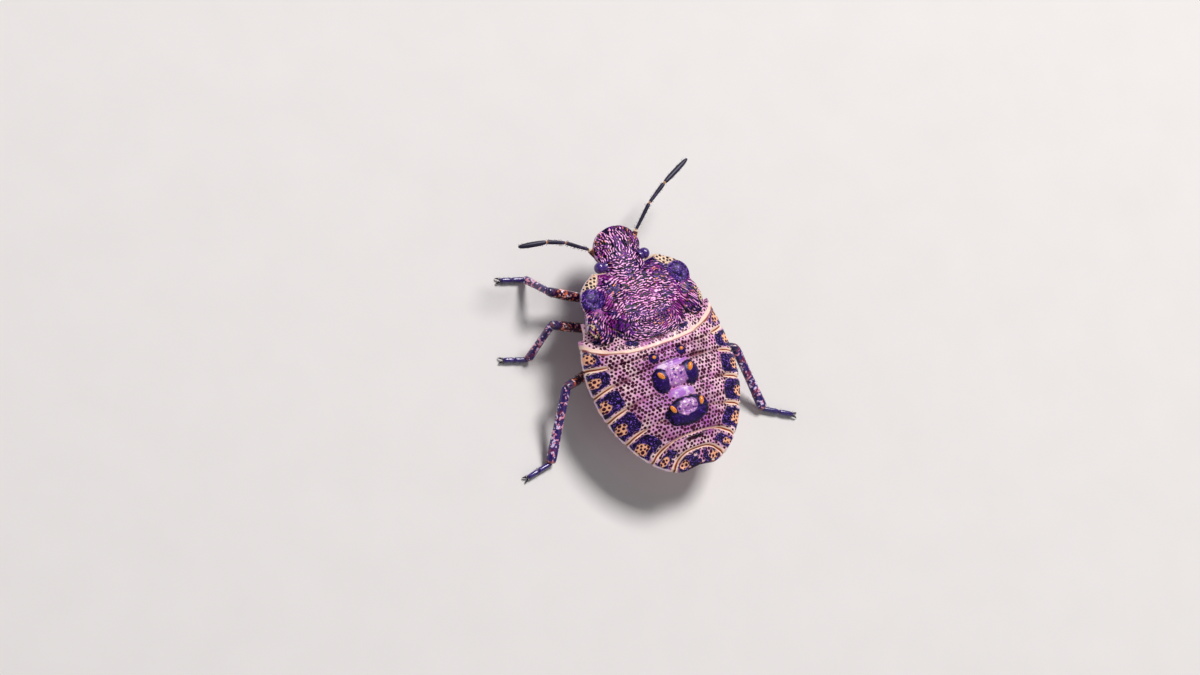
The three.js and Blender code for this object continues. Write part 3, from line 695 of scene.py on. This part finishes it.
def makeMetanotum():
    look = metanotumLook
    across, up, shares, part = plateSections(look, "pad", "waist")
    x, y, z = sectionGrid(part, across, up)
    onBack, ax = (up > 0) * 1.0, np.abs(x)
    spots = np.maximum(soft(1.15, 0.8, oval(ax, y, *look["innerSpot"])),
                       soft(1.2, 0.8, oval(ax, y, *look["outerSpot"])))
    rearEdge = (1 - shares[:, None]) * look["length"]
    pit = pitDistance(x, y, pitsOver(*look["pits"])) + 0.05 * spots + 0.05 * soft(0.04, 0.01, marginOf(part, across))
    masks = {
        **dict.fromkeys(look["unused"], 0), "pit": pit, "patch": spots, "middle": 0.7 * soft(1.3, 0.2, ax),
        "redLine": soft(0.03, 0.018, np.abs(rearEdge - 0.012)) * 0.9,
        "creamLine": soft(0.06, 0.04, np.abs(rearEdge - 0.04)) * 0.8,
        "band": np.clip(0.5 * ripple(x / 0.4, y / 0.1, 22) + 0.25 * soft(1.2, 0.4, ax), 0, 1),
    }
    z = z + relief(0, 0, pit, 0.01) * onBack
    piece = skin("metanotum", np.stack([x, y, z], 2), masks)
    finishPiece(piece, backFinish, ["metathorax"])


# head: a flat shield with two furrows beside the middle lobe of the face

headLook = {
    "tip": -3.24, "rear": -1.5,
    "outline": [[-3.24, 0.12], [-3.2, 0.3], [-3.1, 0.5], [-2.96, 0.64], [-2.75, 0.76], [-2.5, 0.8], [-2.3, 0.73],
                [-1.5, 0.7]],
    "rim": [[-3.24, 1.6], [-2.6, 1.7], [-2.0, 1.78], [-1.5, 1.8]],
    "top": [[-3.24, 1.68], [-3.0, 1.82], [-2.6, 1.93], [-2.1, 2.03], [-1.5, 2.06]],
    "bottom": [[-3.24, 1.52], [-3.0, 1.3], [-2.6, 1.1], [-2.0, 0.98], [-1.5, 0.95]],
    "lean": [[-3.24, -0.14], [-2.7, -0.07], [-2.1, 0], [-1.5, 0]],
    "columns": 150, "under": 40, "tipRows": 28, "rows": 122, "tipLength": 0.24, "trough": 0.03, "furrow": 0.03,
    "pits": ((-1, 1, -3.4, -1.4), 0.09, 0.022, 23),
}


def makeHead():
    look = headLook
    widthAt, rimHeightAt, topAt, bottomAt, leanAt = (
        curve(look[k]) for k in ("outline", "rim", "top", "bottom", "lean"))
    # rows crowd towards the round tip
    behindTip = look["tip"] + look["tipLength"]
    rows = np.concatenate([look["tip"] + look["tipLength"] * np.linspace(0, 1, look["tipRows"]) ** 2,
                           np.linspace(behindTip, look["rear"], look["rows"])[1:]])
    same = np.ones(len(rows))
    part = {"rimY": rows, "back": rows, "belly": rows, "bend": same * 2, "halfWidth": widthAt(rows),
            "height": rimHeightAt(rows), "top": topAt(rows), "bottom": bottomAt(rows),
            "lip": same * trunk["rimThickness"], "trough": same * look["trough"]}
    across, up = roundTheBody(look["columns"], look["under"])
    x, y, z = sectionGrid(part, across, up)
    onBack, ax, margin = (up > 0) * 1.0, np.abs(x), marginOf(part, across)
    # the middle lobe of the face between two furrows
    lobeWidth = 0.2 + 0.05 * (y + 3.2)
    furrow = np.exp(-(((ax - lobeWidth) / 0.035) ** 2)) * soft(-2.2, -2.5, y)
    streaks = lineField(x, y, 70, y, x * (1 + 0.25 * (y + 2.4)))
    curls = lineField(x, y, 74, x, y + 0.5 * x * x)
    rear = soft(-2.35, -2.15, y)
    inside = soft(-3.24, -3.12, y) * soft(0.0, 0.03, margin) * np.where(onBack, 1, 0.3)
    fleck = (streaks * (1 - rear) + curls * rear) * inside
    cheek = soft(0.28, 0.42, ax) * soft(-2.3, -2.5, y)
    pit = pitDistance(x, y, pitsOver(*look["pits"])) + 0.05 * (1 - cheek * inside)
    masks = {
        "fleck": fleck * (1 - 0.35 * cheek), "pit": pit, "cream": 0, "indigo": 0, "disc": 0,
        "dark": np.clip(furrow * 0.85, 0, 1) * onBack, "whiteRim": soft(0.04, 0.015, margin) * onBack * 0.8,
        "magenta": cheek * (0.5 + 0.5 * ripple(x / 0.25, y / 0.25, 76)),
        "violet": blotches(x, y, 0.4, 0.4, 77, 0.2, 0.8),
        "orange": 0.4 + 0.6 * np.maximum(cheek, soft(-2.9, -3.1, y)),
    }
    lift = relief(fleck, 0.007, pit, 0.008) - look["furrow"] * furrow
    lift = lift + 0.025 * soft(1, 0, ax / lobeWidth) * soft(-2.0, -2.6, y)
    x = x + leanAt(y)
    piece = skin("headShield", np.stack([x, y, z + lift * onBack], 2), masks)
    finishPiece(piece, thoraxFinish, ["head"])


makeHead()
makePronotum()
makeMesonotum()
makeMetanotum()
backHeight = makeAbdomen()
print("head, thorax and abdomen made")


# glossy orange mouths of the scent glands, two on each plate

amber = newMaterial("glossy amber cuticle")
amberPlace = node(amber, "TexCoord")
amberCloud = node(amber, "TexNoise", {"Vector": amberPlace.outputs["Object"], "Scale": 14000.0, "Detail": 3.0})
amberTone = node(amber, "Mix", {0: amberCloud.outputs["Fac"], 6: colour("#F0701A"), 7: colour("#FFB450")},
                 data_type="RGBA")
amberShader = node(amber, "BsdfPrincipled", {
    "Base Color": amberTone.outputs[2], "Roughness": 0.25, "Coat Weight": 0.5, "Coat Roughness": 0.1,
    "Subsurface Weight": 0.15, "Subsurface Scale": 0.0001})
node(amber, "OutputMaterial", {"Surface": amberShader.outputs[0]})
mouths = [("Front", 0.49, 1.05, (0.062, 0.055, 0.03), 0.0), ("Middle", 0.52, 1.66, (0.08, 0.14, 0.055), 0.6),
          ("Rear", 0.5, 2.73, (0.075, 0.135, 0.055), 0.4)]


slit = {"half": 0.17, "reach": 0.62, "depth": 0.28, "narrow": 0.5}


def cutSlit(mouth):
    # the top is parted along its length, and the strip between the cuts is pushed in
    bpy.ops.object.mode_set(mode="EDIT")
    for across, place in ((0, slit["half"]), (0, -slit["half"]), (1, slit["reach"]), (1, -slit["reach"])):
        point, normal = [0, 0, 0], [0, 0, 0]
        point[across], normal[across] = place, 1
        bpy.ops.mesh.select_all(action="SELECT")
        bpy.ops.mesh.bisect(plane_co=point, plane_no=normal)
    selectFaces(mouth, lambda c: c.z > 0.5 and abs(c.x) < slit["half"] and abs(c.y) < slit["reach"])
    bpy.ops.mesh.extrude_region_move(TRANSFORM_OT_translate={"value": (0, 0, -slit["depth"])})
    bpy.ops.transform.resize(value=(slit["narrow"], 0.9, 1))
    bpy.ops.object.mode_set(mode="OBJECT")


def makeGlandMouths():
    for word, mx, my, size, slant in mouths:
        for name, side in sides.items():
            bpy.ops.mesh.primitive_ico_sphere_add(subdivisions=4, radius=1)
            mouth = bpy.context.active_object
            mouth.name = "glandMouth" + word + name.title()
            cutSlit(mouth)
            bpy.ops.object.mode_set(mode="EDIT")
            bpy.ops.mesh.select_all(action="SELECT")
            bpy.ops.transform.resize(value=size, center_override=(0, 0, 0))
            bpy.ops.object.mode_set(mode="OBJECT")
            mouth.rotation_euler = (0, 0, side * slant)
            mouth.location = (side * mx, my, backHeight(side * mx, my) + 0.005)
            finishPiece(mouth, amber, [])


makeGlandMouths()
print("gland mouths made")


# rods: legs, feelers, beak

def growRod(name, start, end, stations, facets, flat=1.0, bow=0.0, levels=2):
    # a disc is drawn out ring by ring along Z, then laid from one joint to the next
    start, end = Vector(start), Vector(end)
    length = (end - start).length
    place, width = stations[0]
    bpy.ops.mesh.primitive_circle_add(vertices=facets, radius=width, fill_type="NGON",
                                      location=(0, 0, place * length))
    rod = bpy.context.active_object
    rod.name = name
    bpy.ops.object.mode_set(mode="EDIT")
    bpy.ops.mesh.select_all(action="SELECT")
    for nextPlace, nextWidth in stations[1:]:
        step = (nextPlace - place) * length
        bpy.ops.mesh.extrude_region_move(TRANSFORM_OT_translate={"value": (0, 0, step)})
        bpy.ops.transform.resize(value=(nextWidth / width, nextWidth / width, 1))
        place, width = nextPlace, nextWidth
    bpy.ops.object.mode_set(mode="OBJECT")
    bpy.ops.object.transform_apply(location=True, rotation=True, scale=True)
    if levels:
        bpy.ops.object.modifier_add(type="SUBSURF")
        rod.modifiers[-1].levels = levels
        rod.modifiers[-1].render_levels = levels
        bpy.ops.object.modifier_apply(modifier=rod.modifiers[-1].name)
    place = np.empty(len(rod.data.vertices) * 3)
    rod.data.vertices.foreach_get("co", place)
    place = place.reshape(-1, 3)
    along = np.clip(place[:, 2] / length, 0, 1)
    setMask(rod, "along", along)
    place[:, 1] = place[:, 1] * flat + bow * np.sin(math.pi * along)
    rod.data.vertices.foreach_set("co", place.ravel())
    rod.data.transform(Matrix.Translation(start) @ (end - start).to_track_quat("Z", "Y").to_matrix().to_4x4())
    rod.select_set(False)
    return rod


def joinPieces(name, pieces):
    bpy.ops.object.select_all(action="DESELECT")
    for p in pieces:
        p.select_set(True)
    bpy.context.view_layer.objects.active = pieces[0]
    bpy.ops.object.join()
    whole = bpy.context.active_object
    whole.name = name
    return whole


# one bristle, 1 mm long, of four sides and two bends, which is copied for every other
bristle = growRod("bristle", (0, 0, 0), (0, 0, 1), [(0, 0.0045), (0.4, 0.0038), (0.8, 0.002), (1, 0.0006)], 4,
                  bow=0.1, levels=0)


def growHairs(start, end, radius, count, length, seed, tilt=0.9):
    # bristles all round a rod, leaning towards its end
    random = np.random.default_rng(seed)
    start, end = Vector(start), Vector(end)
    axis = (end - start).normalized()
    side = axis.orthogonal().normalized()
    hairs = []
    for _ in range(count):
        out = Matrix.Rotation(random.uniform(0, 2 * math.pi), 3, axis) @ side
        middle = start.lerp(end, random.uniform(0.06, 0.97))
        if middle.z + out.z * (radius + length) < 0.02:
            # near the floor a bristle points up instead
            out.z = -out.z
        root = middle + out * radius * 0.85
        lean = (out + axis * tilt * random.uniform(0.7, 1.3)).to_track_quat("Z", "Y")
        hair = bristle.copy()
        hair.data = bristle.data.copy()
        bpy.context.scene.collection.objects.link(hair)
        hair.matrix_world = Matrix.LocRotScale(root, lean, Vector((1, 1, length * random.uniform(0.7, 1.2))))
        hairs.append(hair)
    return hairs


plainLimb = {"cloudsPerMm": 4.0, "rough": 0.48, "coat": 0.0, "gather": 0.0, "spots": [], "rings": []}


def limbFinish(name, look):
    # glossy dark cuticle with random pale spots, closer together about the middle of a joint, and plain rings
    material = newMaterial(name)
    look = {**plainLimb, **look}
    place = node(material, "TexCoord")
    inMm = node(material, "Mapping", {"Vector": place.outputs["Object"], "Scale": (1000, 1000, 1000)}).outputs[0]
    cloud = node(material, "TexNoise", {"Vector": inMm, "Scale": look["cloudsPerMm"], "Detail": 3.0})
    low, high = (colour(hexCode) for hexCode in look["ground"])
    tone = node(material, "Mix", {0: cloud.outputs["Fac"], 6: low, 7: high}, data_type="RGBA").outputs[2]
    along = node(material, "Attribute", attribute_name="along")

    def nearShare(share, half):
        away = node(material, "Math", {0: along.outputs["Fac"], 1: share}, operation="SUBTRACT")
        away = node(material, "Math", {0: away.outputs[0]}, operation="ABSOLUTE")
        return node(material, "MapRange", {0: away.outputs[0], 1: half, 2: half * 0.5}).outputs[0]
    middle = nearShare(0.52, 0.22)
    coats = []
    for hexCode, perMm, low, high, strength, shift in look["spots"]:
        moved = node(material, "Mapping", {"Vector": inMm, "Location": (shift, 0, shift)})
        grain = node(material, "TexNoise", {"Vector": moved.outputs[0], "Scale": perMm, "Detail": 1.5})
        grain = node(material, "Math", {0: middle, 1: look["gather"], 2: grain.outputs["Fac"]},
                     operation="MULTIPLY_ADD")
        amount = node(material, "MapRange", {0: grain.outputs[0], 1: low, 2: high, 3: 0.0, 4: strength})
        coats.append((amount, hexCode))
    for hexCode, at, half, strength in look["rings"]:
        amount = node(material, "Math", {0: nearShare(at, half), 1: strength}, operation="MULTIPLY")
        coats.append((amount, hexCode))
    for amount, hexCode in coats:
        tone = node(material, "Mix", {0: amount.outputs[0], 6: tone, 7: colour(hexCode)}, data_type="RGBA").outputs[2]
    fine = node(material, "TexNoise", {"Vector": inMm, "Scale": 28.0, "Detail": 3.0})
    bump = node(material, "Bump", {"Height": fine.outputs["Fac"], "Strength": 0.35, "Distance": 0.00001})
    shader = node(material, "BsdfPrincipled", {
        "Base Color": tone, "Roughness": look["rough"], "Normal": bump.outputs[0], "IOR": 1.52,
        "Coat Weight": look["coat"], "Coat Roughness": 0.15})
    node(material, "OutputMaterial", {"Surface": shader.outputs[0]})
    return material


thighFinish = limbFinish("mottled thigh cuticle", {
    "ground": ("#10041C", "#400E36"), "rough": 0.3, "coat": 0.4, "rings": [("#1E1450", 0.95, 0.09, 0.85)],
    "spots": [("#DC6C3C", 7.0, 0.6, 0.64, 0.95, 0.0), ("#F4AC9C", 9.0, 0.6, 0.64, 1.0, 4.0),
              ("#FBE4F0", 8.0, 0.65, 0.68, 1.0, 9.0)],
})
shinFinish = limbFinish("mottled shin cuticle", {
    "cloudsPerMm": 3.0, "ground": ("#10033C", "#381080"), "rough": 0.3, "coat": 0.35, "gather": 0.035,
    "spots": [("#8C2A4C", 5.0, 0.57, 0.63, 0.7, 2.0), ("#F09CB4", 8.5, 0.59, 0.62, 1.0, 4.0),
              ("#F2D6FF", 9.0, 0.62, 0.65, 1.0, 9.0)],
    "rings": [("#B0583A", 0.99, 0.035, 0.6)],
})
footFinish = limbFinish("indigo foot cuticle", {
    "ground": ("#120640", "#3C1C8C"), "rough": 0.26, "coat": 0.6,
    "spots": [("#8A6AC0", 8.0, 0.6, 0.7, 0.5, 2.0)], "rings": [("#B07A68", 0.0, 0.05, 0.5)],
})
feelerTipFinish = limbFinish("near-black feeler tip", {
    "ground": ("#05021A", "#160A3E"), "spots": [("#5A3A7C", 8.0, 0.62, 0.7, 0.5, 3.0)],
    "rings": [("#EBC49A", 0.0, 0.04, 0.95)],
})
feelerFinish = limbFinish("near-black feeler cuticle", {
    "ground": ("#05021A", "#160A3E"), "spots": [("#5A3A7C", 8.0, 0.62, 0.7, 0.5, 3.0)],
    "rings": [("#EBC49A", 0.0, 0.05, 0.95), ("#D98E5A", 1.0, 0.04, 0.8)],
})
feelerRootFinish = limbFinish("brown feeler root cuticle", {
    "cloudsPerMm": 6.0, "ground": ("#2C1226", "#7A3A2C"), "rough": 0.32, "coat": 0.3,
    "spots": [("#D98A56", 9.0, 0.55, 0.62, 0.8, 3.0)], "rings": [("#EBCDB0", 1.0, 0.1, 0.95)],
})
clawFinish = limbFinish("dark horn claw", {
    "cloudsPerMm": 8.0, "ground": ("#0E0712", "#2C1626"), "rough": 0.22, "coat": 0.5,
    "rings": [("#5A3A3A", 0.0, 0.2, 0.5)],
})
hairFinish = limbFinish("pale bristle", {"cloudsPerMm": 8.0, "ground": ("#2A1826", "#6A5462"), "rough": 0.4})

legLook = {
    "femur": [(-0.02, 0.06), (0.0, 0.1), (0.08, 0.125), (0.25, 0.15), (0.5, 0.17), (0.75, 0.162), (0.92, 0.15),
              (0.985, 0.145), (1.02, 0.12), (1.045, 0.07)],
    "tibia": [(-0.02, 0.06), (0.0, 0.1), (0.06, 0.118), (0.2, 0.108), (0.5, 0.108), (0.8, 0.12), (0.96, 0.13),
              (1.0, 0.1)],
    "tarsusBase": [(0, 0.06), (0.05, 0.08), (0.4, 0.086), (0.9, 0.09), (1.0, 0.07)],
    "tarsusEnd": [(0, 0.06), (0.06, 0.082), (0.4, 0.09), (0.8, 0.084), (0.95, 0.068), (1.0, 0.04)],
    "coxa": [(0, 0.16), (0.2, 0.22), (0.6, 0.22), (0.9, 0.17), (1, 0.1)],
    "hipRing": [(0, 0.1), (0.3, 0.14), (0.8, 0.13), (1, 0.09)],
    "claw": [(0, 0.034), (0.3, 0.036), (0.7, 0.024), (1, 0.005)],
    "soleHeight": 0.095, "ankleHeight": 0.15, "shinWiden": 1.1, "hindWiden": 1.4, "facets": 12,
}
legs = {
    "fore_left": {"hip": (0.65, -1.3, 0.74), "knee": (2.39, -2.03, 1.2), "ankle": (2.44, -2.74),
                  "toe": (3.31, -2.98)},
    "mid_left": {"hip": (0.68, -0.38, 0.66), "knee": (2.75, -1.02, 1.3), "ankle": (3.36, -0.39),
                 "toe": (4.22, -0.65)},
    "hind_left": {"hip": (0.72, 0.42, 0.6), "knee": (3.0, 0.9, 1.15), "ankle": (3.96, 2.83), "toe": (4.92, 3.02)},
    "fore_right": {"hip": (-0.65, -1.3, 0.74), "knee": (-2.18, -0.95, 1.15), "ankle": (-2.35, -1.4),
                   "toe": (-2.15, -2.1)},
    "mid_right": {"hip": (-0.68, -0.38, 0.66), "knee": (-2.4, 0.1, 1.1), "ankle": (-2.8, 0.95), "toe": (-3.05, 1.7)},
    "hind_right": {"hip": (-0.72, 0.42, 0.6), "knee": (-2.86, 1.45, 1.15), "ankle": (-3.5, 3.4), "toe": (-4.5, 3.92)},
}


def makeLeg(number, name, joints):
    look = legLook
    words = name.title().replace("_", "")
    wide = look["hindWiden"] if "hind" in name else look["shinWiden"]
    hip, knee = Vector(joints["hip"]), Vector(joints["knee"])
    ankle = Vector((*joints["ankle"], look["ankleHeight"]))
    toe = Vector((*joints["toe"], look["soleHeight"]))
    # hip ball, a small ring, and the thigh
    outward = (knee - hip).normalized()
    trochanter = growRod("ring", hip + outward * 0.1, hip + outward * 0.38, look["hipRing"], look["facets"])
    femur = growRod("thigh", hip + outward * 0.3, knee, look["femur"], look["facets"], bow=-0.04)
    coxaTop = hip + Vector((-0.12 * math.copysign(1, hip.x), 0, 0.2))
    coxa = growRod("coxa", coxaTop, hip + outward * 0.16, look["coxa"], 14)
    thigh = joinPieces("femur" + words, [femur, trochanter, coxa])
    finishPiece(thigh, thighFinish, ["femur_" + name])
    shin = [(s, w * wide) for s, w in look["tibia"]]
    tibia = growRod("tibia" + words, knee, ankle, shin, look["facets"], flat=1 / wide)
    finishPiece(tibia, shinFinish, ["tibia_" + name])
    # foot: two joints and two claws
    start = Vector((ankle.x, ankle.y, look["soleHeight"] + 0.02))
    ahead = (toe - start).normalized()
    middle = start + (toe - start) * 0.48
    last = toe - ahead * 0.1
    foot = joinPieces("tarsus" + words, [growRod("heel", start - ahead * 0.04, middle, look["tarsusBase"], 10),
                                         growRod("toe", middle, last, look["tarsusEnd"], 10)])
    finishPiece(foot, footFinish, ["tarsus_" + name])
    aside = Vector((-ahead.y, ahead.x, 0)).normalized()
    claws = []
    for side in (1, -1):
        root = last - ahead * 0.02 + aside * side * 0.03
        tip = toe + ahead * 0.05 + aside * side * 0.09
        tip.z = 0.025
        claws.append(growRod("claw", root, tip, look["claw"], 8, bow=0.03))
    finishPiece(joinPieces("claws" + words, claws), clawFinish, [])
    hairs = growHairs(knee, ankle, 0.105 * wide, 70, 0.09, 100 + number)
    hairs += growHairs(start, last, 0.08, 50, 0.07, 200 + number)
    hairs += growHairs(hip + outward * 0.5, knee, 0.15, 40, 0.06, 300 + number)
    finishPiece(joinPieces("bristles" + words, hairs), hairFinish, [])


feelers = {
    "left": [(0.66, -2.5, 1.6), (0.83, -2.77, 1.72), (1.59, -3.18, 1.9), (2.2, -3.37, 1.98), (3.1, -3.52, 1.85)],
    "right": [(-0.68, -2.52, 1.6), (-0.9, -2.88, 1.72), (-1.59, -3.52, 1.9), (-2.27, -3.94, 1.98),
              (-3.37, -4.44, 1.9)],
}
feelerLook = {
    "radius": [0.078, 0.06, 0.066, 0.082],
    "segment": [(0, 0.5), (0.03, 0.75), (0.1, 0.85), (0.5, 0.95), (0.85, 1.1), (0.96, 0.95), (1, 0.6)],
    "tip": [(0, 0.5), (0.04, 0.75), (0.15, 0.98), (0.45, 1.12), (0.72, 1.05), (0.88, 0.85), (0.96, 0.6), (1, 0.3)],
}


def makeFeeler(side):
    joints = feelers[side]
    hairs = []
    for i in range(4):
        shape = feelerLook["tip" if i == 3 else "segment"]
        radius = feelerLook["radius"][i]
        stations = [(s, w * radius) for s, w in shape]
        rod = growRod(f"feeler{side.title()}{i + 1}", joints[i], joints[i + 1], stations, 12)
        finish = (feelerRootFinish, feelerFinish, feelerFinish, feelerTipFinish)[i]
        finishPiece(rod, finish, [f"antenna_{side}_{i + 1}"])
        if i:
            hairs += growHairs(joints[i], joints[i + 1], radius, 45, 0.05, 400 + i, 0.7)
    finishPiece(joinPieces("feelerBristles" + side.title(), hairs), hairFinish, [])


# compound eye: a smooth clear skin over tiny facets, deep purple inside
eyeFinish = newMaterial("compound eye")
eyePlace = node(eyeFinish, "TexCoord")
facets = node(eyeFinish, "TexVoronoi", {"Vector": eyePlace.outputs["Object"], "Scale": 42000.0})
eyeCloud = node(eyeFinish, "TexNoise", {"Vector": eyePlace.outputs["Object"], "Scale": 5000.0})
eyeTone = node(eyeFinish, "Mix", {0: eyeCloud.outputs["Fac"], 6: colour("#180440"), 7: colour("#5A2C9C")},
               data_type="RGBA")
eyeBump = node(eyeFinish, "Bump", {"Height": facets.outputs["Distance"], "Strength": 0.4, "Distance": 0.00001},
               invert=True)
eyeShader = node(eyeFinish, "BsdfPrincipled", {
    "Base Color": eyeTone.outputs[2], "Roughness": 0.3, "Normal": eyeBump.outputs[0],
    "Coat Weight": 0.8, "Coat Roughness": 0.08})
node(eyeFinish, "OutputMaterial", {"Surface": eyeShader.outputs[0]})
eyeLook = {"x": 0.8, "y": -2.12, "z": 1.85, "size": (0.175, 0.175, 0.165)}


def makeEye(side):
    look = eyeLook
    bpy.ops.mesh.primitive_ico_sphere_add(subdivisions=6, radius=1)
    eye = bpy.context.active_object
    eye.name = "eyeBall" + side.title()
    out = sides[side]
    bpy.ops.object.mode_set(mode="EDIT")
    bpy.ops.mesh.bisect(plane_co=(-0.55 * out, 0, 0), plane_no=(-out, 0.25, 0.1), clear_outer=True, use_fill=True)
    selectFaces(eye, lambda c: c.x * out < -0.3 and Vector(c).length < 0.62)
    bpy.ops.mesh.inset(thickness=0.1, depth=0)
    bpy.ops.mesh.extrude_region_move(TRANSFORM_OT_translate={"value": (-0.35 * out, 0, 0)})
    bpy.ops.transform.resize(value=(1, 1.15, 1.15))
    bpy.ops.mesh.extrude_region_move(TRANSFORM_OT_translate={"value": (-0.4 * out, 0, 0)})
    bpy.ops.mesh.select_all(action="SELECT")
    bpy.ops.transform.resize(value=look["size"], center_override=(0, 0, 0))
    bpy.ops.object.mode_set(mode="OBJECT")
    eye.location = (sides[side] * look["x"], look["y"], look["z"])
    finishPiece(eye, eyeFinish, ["eye_" + side])


beakLook = {
    "joints": [(0, -2.9, 1.3), (0, -2.35, 0.98), (0, -1.75, 0.76), (0, -0.9, 0.56), (0, -0.15, 0.4)],
    "joint": [(0, 0.07), (0.06, 0.11), (0.5, 0.12), (0.92, 0.11), (1, 0.08)],
    "end": [(0, 0.07), (0.06, 0.1), (0.5, 0.09), (0.9, 0.05), (1, 0.02)],
}


def makeBeak():
    # four joints, folded back between the hips
    joints = beakLook["joints"]
    parts = [growRod("joint", joints[i], joints[i + 1], beakLook["end" if i == 3 else "joint"], 12) for i in range(4)]
    finishPiece(joinPieces("beakSheath", parts), feelerFinish, ["beak"])


for legNumber, (legName, legJoints) in enumerate(legs.items()):
    makeLeg(legNumber, legName, legJoints)
for sideName in sides:
    makeFeeler(sideName)
    makeEye(sideName)
makeBeak()
bpy.data.objects.remove(bristle)
print("legs, feelers, eyes and beak made")

bpy.ops.object.select_all(action="DESELECT")
